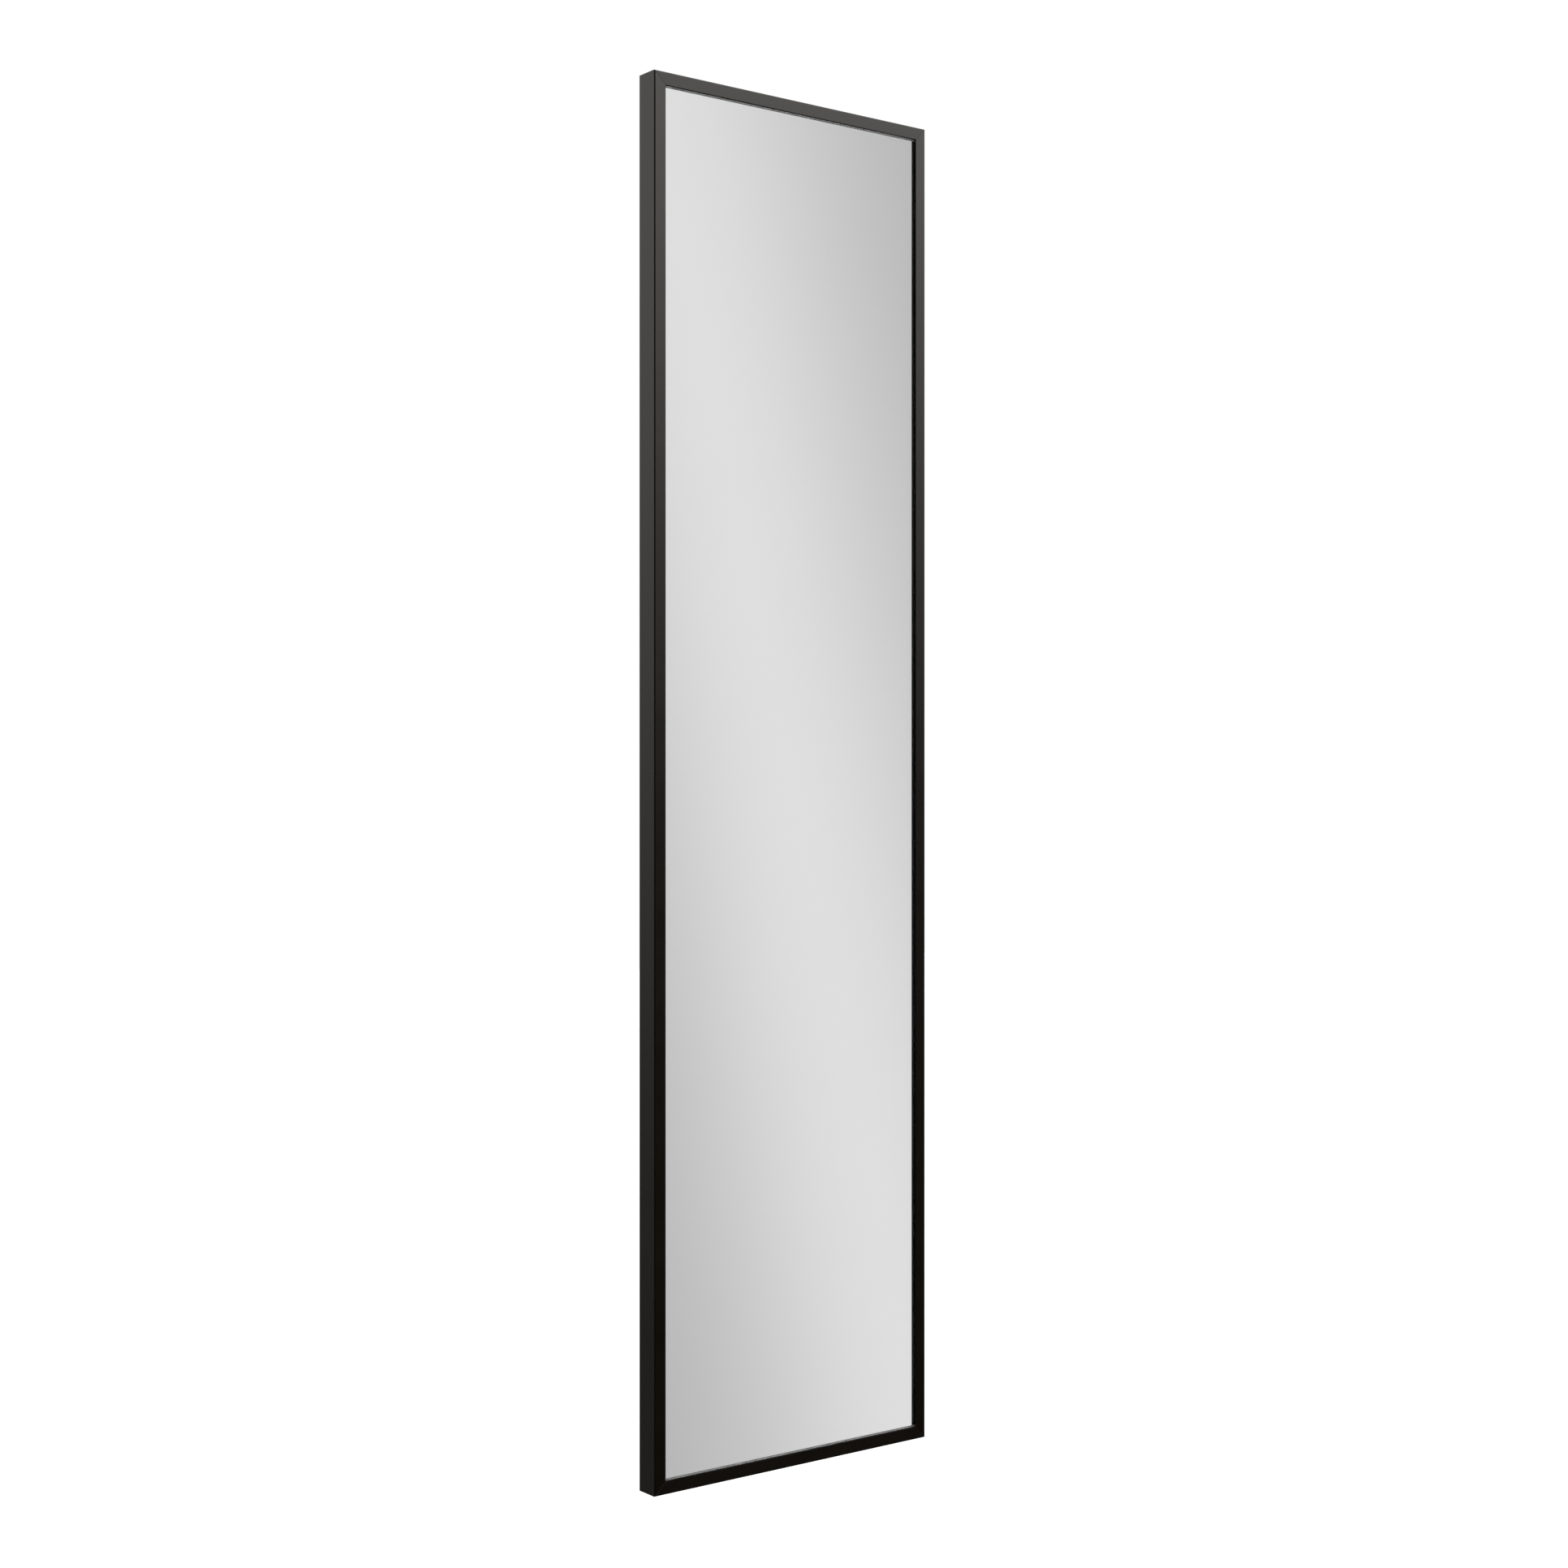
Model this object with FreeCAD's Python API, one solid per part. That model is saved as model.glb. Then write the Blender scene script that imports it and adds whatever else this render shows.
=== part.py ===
import FreeCAD, Part
import math
import os
from collections import namedtuple

from FreeCAD import Vector

# Pull-out closet mirror, in millimetres.
# Origin: the centre of the wall plate's rear face, which lies on the closet's side panel.
# +Z is up, +Y goes into the side panel, -X goes out of the closet, and the glass faces -Y.

# ---------------------------------------------------------------- driving dimensions

mirror_width = 304.8
mirror_height = 1219.2
mirror_depth = 23.5
lead_overhang = 40.0         # from the mirror's leading edge back to the pivot

travel = 250.0               # how far the carriage comes out
mirror_turn = 100.0          # degrees the mirror turns on its pivot

wall_plate_length = 240.0
wall_plate_height = 204.0
wall_plate_thickness = 2.0
wall_plate_corner = 10.0
wall_window_near = 14.0      # from the plate's middle to each window's near and far ends
wall_window_far = 92.0
wall_window_half_height = 28.0
wall_hole_radius = 2.75
wall_hole_spacing_x = 176.0
wall_hole_spacing_z = 188.0

slide_length = 250.0
slide_half_height = 22.5
slide_level = 64.0           # height of each slide's middle above and below the origin
slide_sheet = 1.2
slide_bend = 1.4             # bend radius on the sheet's middle line
slide_depth = 12.7
middle_length = 240.0
inner_length = 243.0
ball_radius = 2.0
race_clearance = 0.04
cage_clearance = 0.1
cage_length = 120.0
cage_sheet = 0.6
cage_bend = 1.2
cage_tip_reach = 2.6         # from the balls' middle to the cage's edge
ball_count = 8               # in each row
ball_pitch = 15.0

pivot_x = -137.0
pivot_y = -11.2
bolt_radius = 4.0
bolt_clearance = 0.05
bracket_sheet = 2.5          # carriage plate and hinge plate
bracket_bend = 3.5
screw_radius = 2.0
screw_hole_radius = 2.1
mirror_gap = 3.0             # between the carriage plate and the hinge plate

# Section of the frame's extrusion: u runs inwards from the outer edge, v back from the front.
lip_width = 11.8
lip_thickness = 1.2
wall_thickness = 1.6
edge_chamfer = 0.9
lip_chamfer = 0.5
small_chamfer = 0.3
shelf_front = 15.9
shelf_rear = 17.3
shelf_width = 10.4
upstand_thickness = 1.2
hook_front = 19.5
hook_rear = 20.5
slot_start = 3.2             # the channel's open slot between its two hooks
slot_end = 7.8
mitre_gap = 0.06

tape_thickness = 0.3
glass_thickness = 3.0
film_thickness = 0.3
board_thickness = 3.0
pane_margin = 2.2            # from the frame's outer edge to the edge of the glass

cross_bar_level = 75.0
cross_bar_height = 32.0

# ---------------------------------------------------------------- derived places

slide_front_x = -slide_length / 2
slide_back_y = -wall_plate_thickness
slide_face_y = slide_back_y - slide_depth
carriage_face_y = slide_face_y - bracket_sheet
hinge_rear_y = carriage_face_y - mirror_gap
mirror_back_y = hinge_rear_y - bracket_sheet
mirror_front_y = mirror_back_y - mirror_depth
mirror_left = pivot_x - lead_overhang
mirror_right = mirror_left + mirror_width
mirror_top = mirror_height / 2
glass_front = lip_thickness + tape_thickness
film_front = glass_front + glass_thickness
board_front = film_front + film_thickness
board_rear = board_front + board_thickness
slot_middle = (slot_start + slot_end) / 2

levels = (("upper", 1), ("lower", -1))
parts = {}


# ---------------------------------------------------------------- helpers

def box(x0, x1, y0, y1, z0, z1):
    low = Vector(min(x0, x1), min(y0, y1), min(z0, z1))
    return Part.makeBox(abs(x1 - x0), abs(y1 - y0), abs(z1 - z0), low)


def rod(radius, start, end):
    axis = Vector(*end) - Vector(*start)
    return Part.makeCylinder(radius, axis.Length, Vector(*start), axis)


def polygon(points):
    return Part.Face(Part.makePolygon(list(points) + [points[0]]))


def rounded_plate(x0, x1, y0, y1, z0, z1, radius):
    """A plate standing in the XZ plane, from y0 to y1, with its four corners rounded."""
    plate = box(x0, x1, y0, y1, z0, z1)
    upright = [e for e in plate.Edges if abs(e.tangentAt(e.FirstParameter).y) > 0.9]
    return plate.makeFillet(radius, upright)


def strip_side(path, bend, offset, place):
    """Edges beside a path, moved sideways by offset, with every bend turned about its own centre."""
    points = [Vector(a, b, 0) for a, b in path]
    runs = [(q - p).normalize() for p, q in zip(points, points[1:])]

    def beside(point, run):
        return point + Vector(-run.y, run.x, 0) * offset

    edges = []
    last = beside(points[0], runs[0])
    for corner, run_in, run_out in zip(points[1:], runs, runs[1:]):
        back = bend * math.tan(run_in.getAngle(run_out) / 2)
        hand = 1 if run_in.cross(run_out).z > 0 else -1
        centre = corner - run_in * back + Vector(-run_in.y, run_in.x, 0) * hand * bend
        start = beside(corner - run_in * back, run_in)
        middle = centre + (corner - centre).normalize() * (bend - hand * offset)
        end = beside(corner + run_out * back, run_out)
        edges.append(Part.LineSegment(place(last), place(start)).toShape())
        edges.append(Part.Arc(place(start), place(middle), place(end)).toShape())
        last = end
    end = beside(points[-1], runs[-1])
    edges.append(Part.LineSegment(place(last), place(end)).toShape())
    return edges, beside(points[0], runs[0]), end


def bent_strip(path, bend, thickness, place):
    """Face of a bent sheet seen on edge: path is its middle line, and place puts it in space."""
    left, left_start, left_end = strip_side(path, bend, thickness / 2, place)
    right, right_start, right_end = strip_side(path, bend, -thickness / 2, place)
    caps = [
        Part.LineSegment(place(left_end), place(right_end)).toShape(),
        Part.LineSegment(place(left_start), place(right_start)).toShape(),
    ]
    return Part.Face(Part.Wire(Part.__sortEdges__(left + right + caps)))


def turned(points, base, axis):
    """A solid turned about axis: points are radius and height above base."""
    profile = polygon([Vector(r, 0, h) for r, h in points])
    solid = profile.revolve(Vector(0, 0, 0), Vector(0, 0, 1), 360)
    solid.Placement = FreeCAD.Placement(Vector(*base), FreeCAD.Rotation(Vector(0, 0, 1), Vector(*axis)))
    return solid


def hexagon(across_flats, base, axis, height):
    """A hexagonal prism that stands on base and rises along axis."""
    reach = across_flats / math.sqrt(3)
    corners = [Vector(reach * math.cos(math.radians(a)), reach * math.sin(math.radians(a)), 0)
               for a in range(0, 360, 60)]
    prism = polygon(corners).extrude(Vector(0, 0, height))
    prism.Placement = FreeCAD.Placement(Vector(*base), FreeCAD.Rotation(Vector(0, 0, 1), Vector(*axis)))
    return prism


def button_screw(seat, axis, length, head_radius=3.8, head_height=2.2, socket=2.5):
    """A socket button screw: the head rises from seat along axis, and the shank goes the other way."""
    seat = Vector(*seat)
    axis = Vector(*axis)
    head = turned([(0, 0), (head_radius, 0), (head_radius, 0.3 * head_height),
                   (0.86 * head_radius, 0.7 * head_height), (0.5 * head_radius, head_height),
                   (0, head_height)], seat, axis)
    shank = Part.makeCylinder(screw_radius, length, seat, axis * -1)
    recess = hexagon(socket, seat + axis * 0.45 * head_height, axis, head_height)
    return head.fuse(shank).removeSplitter().cut(recess)


def group(solids):
    return Part.makeCompound(list(solids))


# ---------------------------------------------------------------- wall plate

def make_wall_plate():
    half_length = wall_plate_length / 2
    half_height = wall_plate_height / 2
    rear, front = 1.0, -wall_plate_thickness - 1.0
    plate = rounded_plate(-half_length, half_length, 0, -wall_plate_thickness,
                          -half_height, half_height, wall_plate_corner)
    cuts = [rivet(x, side) for x in rivet_places for _, side in levels]
    for hand in (-1, 1):
        x = hand * wall_hole_spacing_x / 2
        cuts.append(rounded_plate(hand * wall_window_near, hand * wall_window_far, rear, front,
                                  -wall_window_half_height, wall_window_half_height, wall_plate_corner))
        for _, side in levels:
            z = side * wall_hole_spacing_z / 2
            cuts.append(rod(wall_hole_radius, (x, rear, z), (x, front, z)))
    return plate.cut(cuts)


# Rivets with flush countersunk heads hold the outer members to the wall plate.
rivet_places = (-105.0, -35.0, 35.0, 105.0)
rivet_radius = 2.0
rivet_head_radius = 3.6
rivet_head_depth = 1.6


def rivet(x, side):
    length = wall_plate_thickness + slide_sheet
    shape = [(0, 0), (rivet_radius, 0), (rivet_radius, length - rivet_head_depth),
             (rivet_head_radius, length), (0, length)]
    return turned(shape, (x, 0, side * slide_level), (0, -1, 0))


# ---------------------------------------------------------------- ball slides

outer_ball_y = slide_back_y - 7.0
inner_ball_y = slide_back_y - 8.6
outer_tip_y = slide_face_y + 0.8
outer_lip_drop = 2.7         # from the member's outer face to the middle of its inturned lip
middle_web_y = slide_back_y - 2.6
middle_tip_y = slide_face_y + 1.1
inner_tip_y = slide_back_y - 5.6
outer_cage_web_y = slide_back_y - 1.9
inner_cage_web_y = slide_back_y - 4.5
outer_gap = 3.48             # between the facing flanges of two members
outer_flange = slide_half_height - slide_sheet
middle_flange = outer_flange - outer_gap
inner_flange = middle_flange - slide_sheet - outer_gap
outer_row = outer_flange - outer_gap / 2
inner_row = middle_flange - slide_sheet - outer_gap / 2
race_radius = ball_radius + race_clearance


def extruded_channel(path, sheet, bend, x0, length, level):
    face = bent_strip(path, bend, sheet, lambda p: Vector(x0, p.x, level + p.y))
    return face.extrude(Vector(length, 0, 0))


def channel_path(web, tip, half):
    """Middle line of a plain channel: its web at y = web, its flange tips at y = tip."""
    return [(tip, half), (web, half), (web, -half), (tip, -half)]


def races(ball_y, row, level):
    start = slide_front_x - 1
    end = -start
    heights = [level + hand * row for hand in (-1, 1)]
    return [rod(race_radius, (start, ball_y, z), (end, ball_y, z)) for z in heights]


def make_outer_member(side):
    level = side * slide_level
    web = slide_back_y - slide_sheet / 2
    tip = outer_tip_y + slide_sheet / 2
    half = slide_half_height - slide_sheet / 2
    lip = slide_half_height - outer_lip_drop
    path = [(tip, lip)] + channel_path(web, tip, half) + [(tip, -lip)]
    member = extruded_channel(path, slide_sheet, slide_bend, slide_front_x, slide_length, level)
    peg_x = catch_x + catch_length / 2
    peg_hole = rod(catch_peg_radius, (peg_x, 0, level), (peg_x, outer_ball_y, level))
    cuts = races(outer_ball_y, outer_row, level) + [peg_hole] + [rivet(x, side) for x in rivet_places]
    return member.cut(cuts)


def make_middle_member(side):
    level = side * slide_level
    web = middle_web_y - slide_sheet / 2
    path = channel_path(web, middle_tip_y, middle_flange - slide_sheet / 2)
    member = extruded_channel(path, slide_sheet, slide_bend, slide_front_x, middle_length, level)
    return member.cut(races(outer_ball_y, outer_row, level) + races(inner_ball_y, inner_row, level))


def make_inner_member(side):
    level = side * slide_level
    web = slide_face_y + slide_sheet / 2
    path = channel_path(web, inner_tip_y, inner_flange - slide_sheet / 2)
    member = extruded_channel(path, slide_sheet, slide_bend, slide_front_x, inner_length, level)
    holes = [rod(screw_radius, (x, 0, level), (x, carriage_face_y, level)) for x in carriage_screw_places]
    return member.cut(races(inner_ball_y, inner_row, level) + holes)


cage_middle = slide_front_x + travel / 4 + cage_length / 2


def ball_places():
    first = cage_middle - ball_pitch * (ball_count - 1) / 2
    return [first + ball_pitch * i for i in range(ball_count)]


def make_cage(side, web, ball_y, row):
    level = side * slide_level
    path = channel_path(web, ball_y - cage_tip_reach, row)
    cage = extruded_channel(path, cage_sheet, cage_bend, cage_middle - cage_length / 2, cage_length, level)
    holes = [rod(ball_radius + cage_clearance, (x, ball_y, level - slide_half_height),
                 (x, ball_y, level + slide_half_height)) for x in ball_places()]
    return cage.cut(holes)


def make_balls(side, ball_y, row):
    level = side * slide_level
    return group(Part.makeSphere(ball_radius, Vector(x, ball_y, level + s * row))
                 for s in (-1, 1) for x in ball_places())


# A nylon block in each outer member's rear end stops the slide as it closes and holds it in.
catch_length = 6.6
catch_x = -slide_front_x - catch_length
catch_peg_radius = 2.0
catch_half_height = 9.0
catch_recess = 1.6           # from the slide's face to the catch
catch_corner = 1.5


def make_catch(side):
    level = side * slide_level
    front = slide_back_y - slide_sheet
    block = rounded_plate(catch_x, catch_x + catch_length, front, slide_face_y + catch_recess,
                          level - catch_half_height, level + catch_half_height, catch_corner)
    peg_x = catch_x + catch_length / 2
    peg = rod(catch_peg_radius, (peg_x, front, level), (peg_x, front + slide_sheet, level))
    return block.fuse(peg)


# ---------------------------------------------------------------- carriage

carriage_screw_places = (-105.0, -52.5, 0.0)
carriage_screw_length = 6.0
lug_radius = 8.0
lug_outer = 95.0             # height of the lugs' outer faces
lug_inner = lug_outer - bracket_sheet
plate_left = pivot_x + 10
plate_right = 15.0
plate_half_height = 88.0
plate_corner = 3.0
lug_end = pivot_x + 37       # where the flange that carries the lugs stops
lug_web = 1.8                # from the pivot to the lugs' straight front edge
carriage_window_left = pivot_x + 27
carriage_window_right = -10.0
carriage_window_half_height = 32.0
carriage_window_corner = 12.0
bush_radius = 5.0
bush_flange_radius = 6.5
bush_flange = 1.0


def make_carriage_plate():
    rear = slide_face_y
    middle = rear - bracket_sheet / 2
    left = plate_left
    plate = rounded_plate(left, plate_right, rear, carriage_face_y, -plate_half_height, plate_half_height,
                          plate_corner)
    ear_y = pivot_y + lug_radius
    ear_z = (lug_outer + lug_inner) / 2
    path = channel_path(middle, ear_y, ear_z)
    flanged = bent_strip(path, bracket_bend, bracket_sheet, lambda p: Vector(left, p.x, p.y))
    body = plate.fuse(flanged.extrude(Vector(lug_end - left, 0, 0)))
    for _, side in levels:
        z0 = side * lug_inner
        z1 = side * lug_outer
        body = body.fuse(rod(lug_radius, (pivot_x, pivot_y, z0), (pivot_x, pivot_y, z1)))
        body = body.fuse(box(pivot_x, left + 1, pivot_y - lug_web, ear_y, z0, z1))
        body = body.cut(rod(bush_radius, (pivot_x, pivot_y, z0 - side), (pivot_x, pivot_y, z1 + side)))
    window = rounded_plate(carriage_window_left, carriage_window_right, 0, hinge_rear_y,
                           -carriage_window_half_height, carriage_window_half_height, carriage_window_corner)
    holes = [rod(screw_hole_radius, (x, 0, side * slide_level), (x, hinge_rear_y, side * slide_level))
             for x in carriage_screw_places for _, side in levels]
    return body.cut([window] + holes).removeSplitter()


def make_carriage_screws():
    return group(button_screw((x, carriage_face_y, side * slide_level), (0, -1, 0), carriage_screw_length)
                 for _, side in levels for x in carriage_screw_places)


bumper_x = 5.0
bumper_level = 80.0
bumper_radius = 6.0
bumper_clearance = 0.3       # from the bumper to the cross bar behind the mirror


def make_bumpers():
    height = carriage_face_y - mirror_back_y - bumper_clearance
    dome = [(0, 0), (bumper_radius, 0), (bumper_radius, 0.5 * height), (0.87 * bumper_radius, 0.8 * height),
            (0.57 * bumper_radius, height), (0, height)]
    return group(turned(dome, (bumper_x, carriage_face_y, side * bumper_level), (0, -1, 0))
                 for _, side in levels)


# ---------------------------------------------------------------- pivots

def pivot_ring(side, z, points):
    """A turned part on the pivot's axis: heights count outwards from z on that side."""
    return turned(points, (pivot_x, pivot_y, side * z), (0, 0, side))


def make_pivot_bush(side):
    bore = bolt_radius + bolt_clearance
    barrel = bracket_sheet
    full = barrel + bush_flange
    section = [(bore, 0), (bush_radius, 0), (bush_radius, barrel), (bush_flange_radius, barrel),
               (bush_flange_radius, full), (bore, full)]
    return pivot_ring(side, lug_inner, section)


spring_space = 1.2
spring_sheet = 0.6
spring_rim = 7.6
nut_height = 8.0
nut_collar = 2.0
nut_across_flats = 13.0
bolt_head_radius = 7.0
bolt_head_height = 4.0
bolt_head_edge = 0.8
bolt_socket = 5.0
bolt_socket_depth = 2.4
bolt_end = 1.5               # how far the bolt shows past its nut


def make_disc_spring(side):
    """A dished washer: its rim bears on the carriage's lug and its hole on the nut."""
    gap = 0.05
    rise = spring_space - spring_sheet - gap
    hole = bolt_radius + 2 * gap
    section = [(hole, 0), (hole + 2 * gap, 0), (spring_rim, rise), (spring_rim, rise + spring_sheet),
               (spring_rim - 2 * gap, rise + spring_sheet), (hole, spring_sheet)]
    return pivot_ring(side, lug_inner - spring_space, section)


def make_lock_nut(side):
    base = lug_inner - spring_space - nut_height
    hexagonal = hexagon(nut_across_flats, (pivot_x, pivot_y, side * (base + nut_collar)), (0, 0, side),
                        nut_height - nut_collar)
    collar = pivot_ring(side, base, [(0, 0), (4.9, 0), (5.7, 0.8), (5.7, nut_collar), (0, nut_collar)])
    bore = rod(bolt_radius, (pivot_x, pivot_y, side * (base - 1)), (pivot_x, pivot_y, side * lug_outer))
    return hexagonal.fuse(collar).cut(bore)


def make_pivot_bolt(side):
    tip = lug_inner - spring_space - nut_height - bolt_end
    shank = rod(bolt_radius, (pivot_x, pivot_y, side * tip), (pivot_x, pivot_y, side * hinge_half_height))
    profile = [(0, 0), (bolt_head_radius, 0), (bolt_head_radius, bolt_head_height - bolt_head_edge),
               (bolt_head_radius - bolt_head_edge, bolt_head_height), (0, bolt_head_height)]
    head = pivot_ring(side, hinge_half_height, profile)
    socket_floor = hinge_half_height + bolt_head_height - bolt_socket_depth
    socket = hexagon(bolt_socket, (pivot_x, pivot_y, side * socket_floor), (0, 0, side), bolt_head_height)
    return head.fuse(shank).removeSplitter().cut(socket)


# ---------------------------------------------------------------- hinge plate

ear_inner = lug_outer + bush_flange
hinge_half_height = ear_inner + bracket_sheet
ear_radius = 10.0
leaf_width = 70.0
leaf_half_height = 92.0
leaf_corner = 6.0
leaf_window_inset = 14.0
leaf_window_half_height = 46.0
leaf_window_corner = 10.0
leaf_screw_length = 5.5
tab_root = 3.0               # from the pivot to where the stop tab joins the ear
tab_bend = 2.0
tab_start = 1.0              # how far behind the pivot the stop tab starts and ends
tab_end = 7.5
stop_clearance = 0.05
leaf_screw_x = (pivot_x + 15, pivot_x + 50)
leaf_screw_offset = 9.0


def stop_offset():
    """Distance from the pivot to the tab's inner face, so that the tab meets the lug at full turn."""
    turn = math.radians(mirror_turn)
    return (lug_radius + stop_clearance - tab_end * math.cos(turn)) / math.sin(turn)


def make_hinge_plate():
    left = pivot_x - ear_radius
    middle = hinge_rear_y - bracket_sheet / 2
    ear_z = ear_inner + bracket_sheet / 2
    path = channel_path(middle, pivot_y + ear_radius, ear_z)
    flanged = bent_strip(path, bracket_bend, bracket_sheet, lambda p: Vector(left, p.x, p.y))
    body = flanged.extrude(Vector(2 * ear_radius, 0, 0))
    keep = rod(ear_radius, (pivot_x, pivot_y, -hinge_half_height), (pivot_x, pivot_y, hinge_half_height))
    keep = keep.fuse(box(left, left + 2 * ear_radius, mirror_back_y, pivot_y,
                         -hinge_half_height, hinge_half_height))
    body = body.common(keep)
    leaf = rounded_plate(left, left + leaf_width, hinge_rear_y, mirror_back_y,
                         -leaf_half_height, leaf_half_height, leaf_corner)
    tab_x = pivot_x - stop_offset() - bracket_sheet / 2
    tab_path = [(pivot_x - tab_root, ear_z), (tab_x, ear_z), (tab_x, lug_inner)]
    tab = bent_strip(tab_path, tab_bend, bracket_sheet, lambda p: Vector(p.x, pivot_y + tab_start, p.y))
    tab = tab.extrude(Vector(0, tab_end - tab_start, 0))
    body = body.fuse(leaf).fuse(tab)
    cuts = [rod(bolt_radius + bolt_clearance, (pivot_x, pivot_y, side * lug_inner),
                (pivot_x, pivot_y, side * (hinge_half_height + 1))) for _, side in levels]
    window_left = left + leaf_window_inset
    window_right = left + leaf_width - leaf_window_inset
    cuts.append(rounded_plate(window_left, window_right, 0, mirror_front_y,
                              -leaf_window_half_height, leaf_window_half_height, leaf_window_corner))
    cuts += [rod(screw_hole_radius, (x, 0, z), (x, mirror_front_y, z)) for x, z in leaf_screws()]
    return body.cut(cuts).removeSplitter()


def leaf_screws():
    return [(x, side * (cross_bar_level + offset)) for x in leaf_screw_x for _, side in levels
            for offset in (-leaf_screw_offset, leaf_screw_offset)]


def make_hinge_screws():
    return group(button_screw((x, hinge_rear_y, z), (0, 1, 0), leaf_screw_length) for x, z in leaf_screws())


# ---------------------------------------------------------------- frame

Side = namedtuple("Side", "corner along inward length")
left_bottom = Vector(mirror_left, mirror_front_y, -mirror_top)
left_top = Vector(mirror_left, mirror_front_y, mirror_top)
right_bottom = Vector(mirror_right, mirror_front_y, -mirror_top)
right_top = Vector(mirror_right, mirror_front_y, mirror_top)
across = Vector(1, 0, 0)
back = Vector(0, 1, 0)
upwards = Vector(0, 0, 1)

frame_sides = {
    "frame_stile_left": Side(left_bottom, upwards, across, mirror_height),
    "frame_stile_right": Side(right_bottom, upwards, across * -1, mirror_height),
    "frame_rail_bottom": Side(left_bottom, across, upwards, mirror_width),
    "frame_rail_top": Side(left_top, across, upwards * -1, mirror_width),
}


def spot(side, a, u, v):
    """A point on one side of the frame: a along it, u inwards from its outer edge, v back from the front."""
    return side.corner + side.along * a + side.inward * u + back * v


def make_frame_member(side):
    upstand = shelf_width - upstand_thickness
    section = [
        (edge_chamfer, 0), (lip_width - lip_chamfer, 0), (lip_width, lip_chamfer),
        (lip_width, lip_thickness), (wall_thickness, lip_thickness),
        (wall_thickness, shelf_front), (shelf_width, shelf_front),
        (shelf_width, hook_rear), (slot_end, hook_rear), (slot_end, hook_front), (upstand, hook_front),
        (upstand, shelf_rear), (wall_thickness, shelf_rear), (wall_thickness, hook_front),
        (slot_start, hook_front), (slot_start, hook_rear), (wall_thickness, hook_rear),
        (wall_thickness, mirror_depth), (small_chamfer, mirror_depth), (0, mirror_depth - small_chamfer),
        (0, edge_chamfer),
    ]
    bar = polygon([spot(side, 0, u, v) for u, v in section]).extrude(side.along * side.length)
    reach = lip_width + 1
    trim = mitre_gap / math.sqrt(2)
    mitred = polygon([spot(side, trim, 0, 0), spot(side, side.length - trim, 0, 0),
                      spot(side, side.length - trim - reach, reach, 0), spot(side, trim + reach, reach, 0)])
    return bar.common(mitred.extrude(back * mirror_depth))


# An L-shaped key in the rear channel locks each corner, held by set screws.
key_leg = 46.0
key_clearance = 0.1
key_start = wall_thickness + key_clearance
key_end = shelf_width - upstand_thickness - key_clearance
key_front = shelf_rear + key_clearance
key_rear = hook_front
key_screw_places = (17.0, 36.0)
key_screw_length = 4.2
key_screw_socket = 2.0
key_screw_socket_depth = 1.8
corners = {
    "bottom_left": (left_bottom, across, upwards),
    "bottom_right": (right_bottom, across * -1, upwards),
    "top_left": (left_top, across, upwards * -1),
    "top_right": (right_top, across * -1, upwards * -1),
}


def key_screw_points(corner, one_way, other_way):
    return [corner + along * a + inward * slot_middle
            for along, inward in ((one_way, other_way), (other_way, one_way)) for a in key_screw_places]


def make_corner_key(corner, one_way, other_way):
    legs = [(key_start, key_start), (key_leg, key_start), (key_leg, key_end), (key_end, key_end),
            (key_end, key_leg), (key_start, key_leg)]
    outline = polygon([corner + one_way * a + other_way * b + back * key_front for a, b in legs])
    key = outline.extrude(back * (key_rear - key_front))
    holes = [Part.makeCylinder(screw_radius, mirror_depth, point, back)
             for point in key_screw_points(corner, one_way, other_way)]
    return key.cut(holes)


def make_set_screw(point):
    body = Part.makeCylinder(screw_radius, key_screw_length, point + back * shelf_rear, back)
    socket_floor = shelf_rear + key_screw_length - key_screw_socket_depth
    return body.cut(hexagon(key_screw_socket, point + back * socket_floor, back, key_screw_length))


# ---------------------------------------------------------------- glass and backing

def pane(margin, front, thickness):
    return box(mirror_left + margin, mirror_right - margin, mirror_front_y + front,
               mirror_front_y + front + thickness, -mirror_top + margin, mirror_top - margin)


tape_outer_inset = 1.0       # from the glass edge to the tape, and from the tape to the lip's inner edge
tape_inner_inset = 0.3


def make_glazing_tape():
    outer = pane(pane_margin + tape_outer_inset, lip_thickness, tape_thickness)
    opening = pane(lip_width - tape_inner_inset, 0, glass_front + 1)
    return outer.cut(opening)


clip_length = 56.0
clip_width = 7.4
clip_sheet = 0.5
clip_clearance = 0.4         # from the frame's wall to the clip
stile_clip_places = (0.14, 0.38, 0.62, 0.86)
rail_clip_places = (0.5,)


def make_spring_clip(side, a):
    """A bowed strip between the backing board and the frame's shelf."""
    half = clip_length / 2
    u0 = wall_thickness + clip_clearance

    def bow(reach, crown):
        start = spot(side, a - reach, u0, board_rear)
        middle = spot(side, a, u0, crown)
        end = spot(side, a + reach, u0, board_rear)
        return Part.Arc(start, middle, end).toShape()

    outer = bow(half, shelf_front)
    inner = bow(half - clip_sheet, shelf_front - clip_sheet)
    ends = ((outer.FirstParameter, inner.FirstParameter), (outer.LastParameter, inner.LastParameter))
    feet = [Part.LineSegment(outer.valueAt(p), inner.valueAt(q)).toShape() for p, q in ends]
    face = Part.Face(Part.Wire(Part.__sortEdges__([outer, inner] + feet)))
    return face.extrude(side.inward * clip_width)


def make_spring_clips():
    clips = []
    for name, side in frame_sides.items():
        places = stile_clip_places if "stile" in name else rail_clip_places
        clips += [make_spring_clip(side, side.length * place) for place in places]
    return group(clips)


# ---------------------------------------------------------------- cross bars

bar_margin = wall_thickness + 0.2
bar_corner = 2.0
bar_screw_offset = 9.0
bar_screw_length = 6.1
slot_nut_length = 28.0


def bar_end_x():
    return mirror_left + slot_middle, mirror_right - slot_middle


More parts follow.
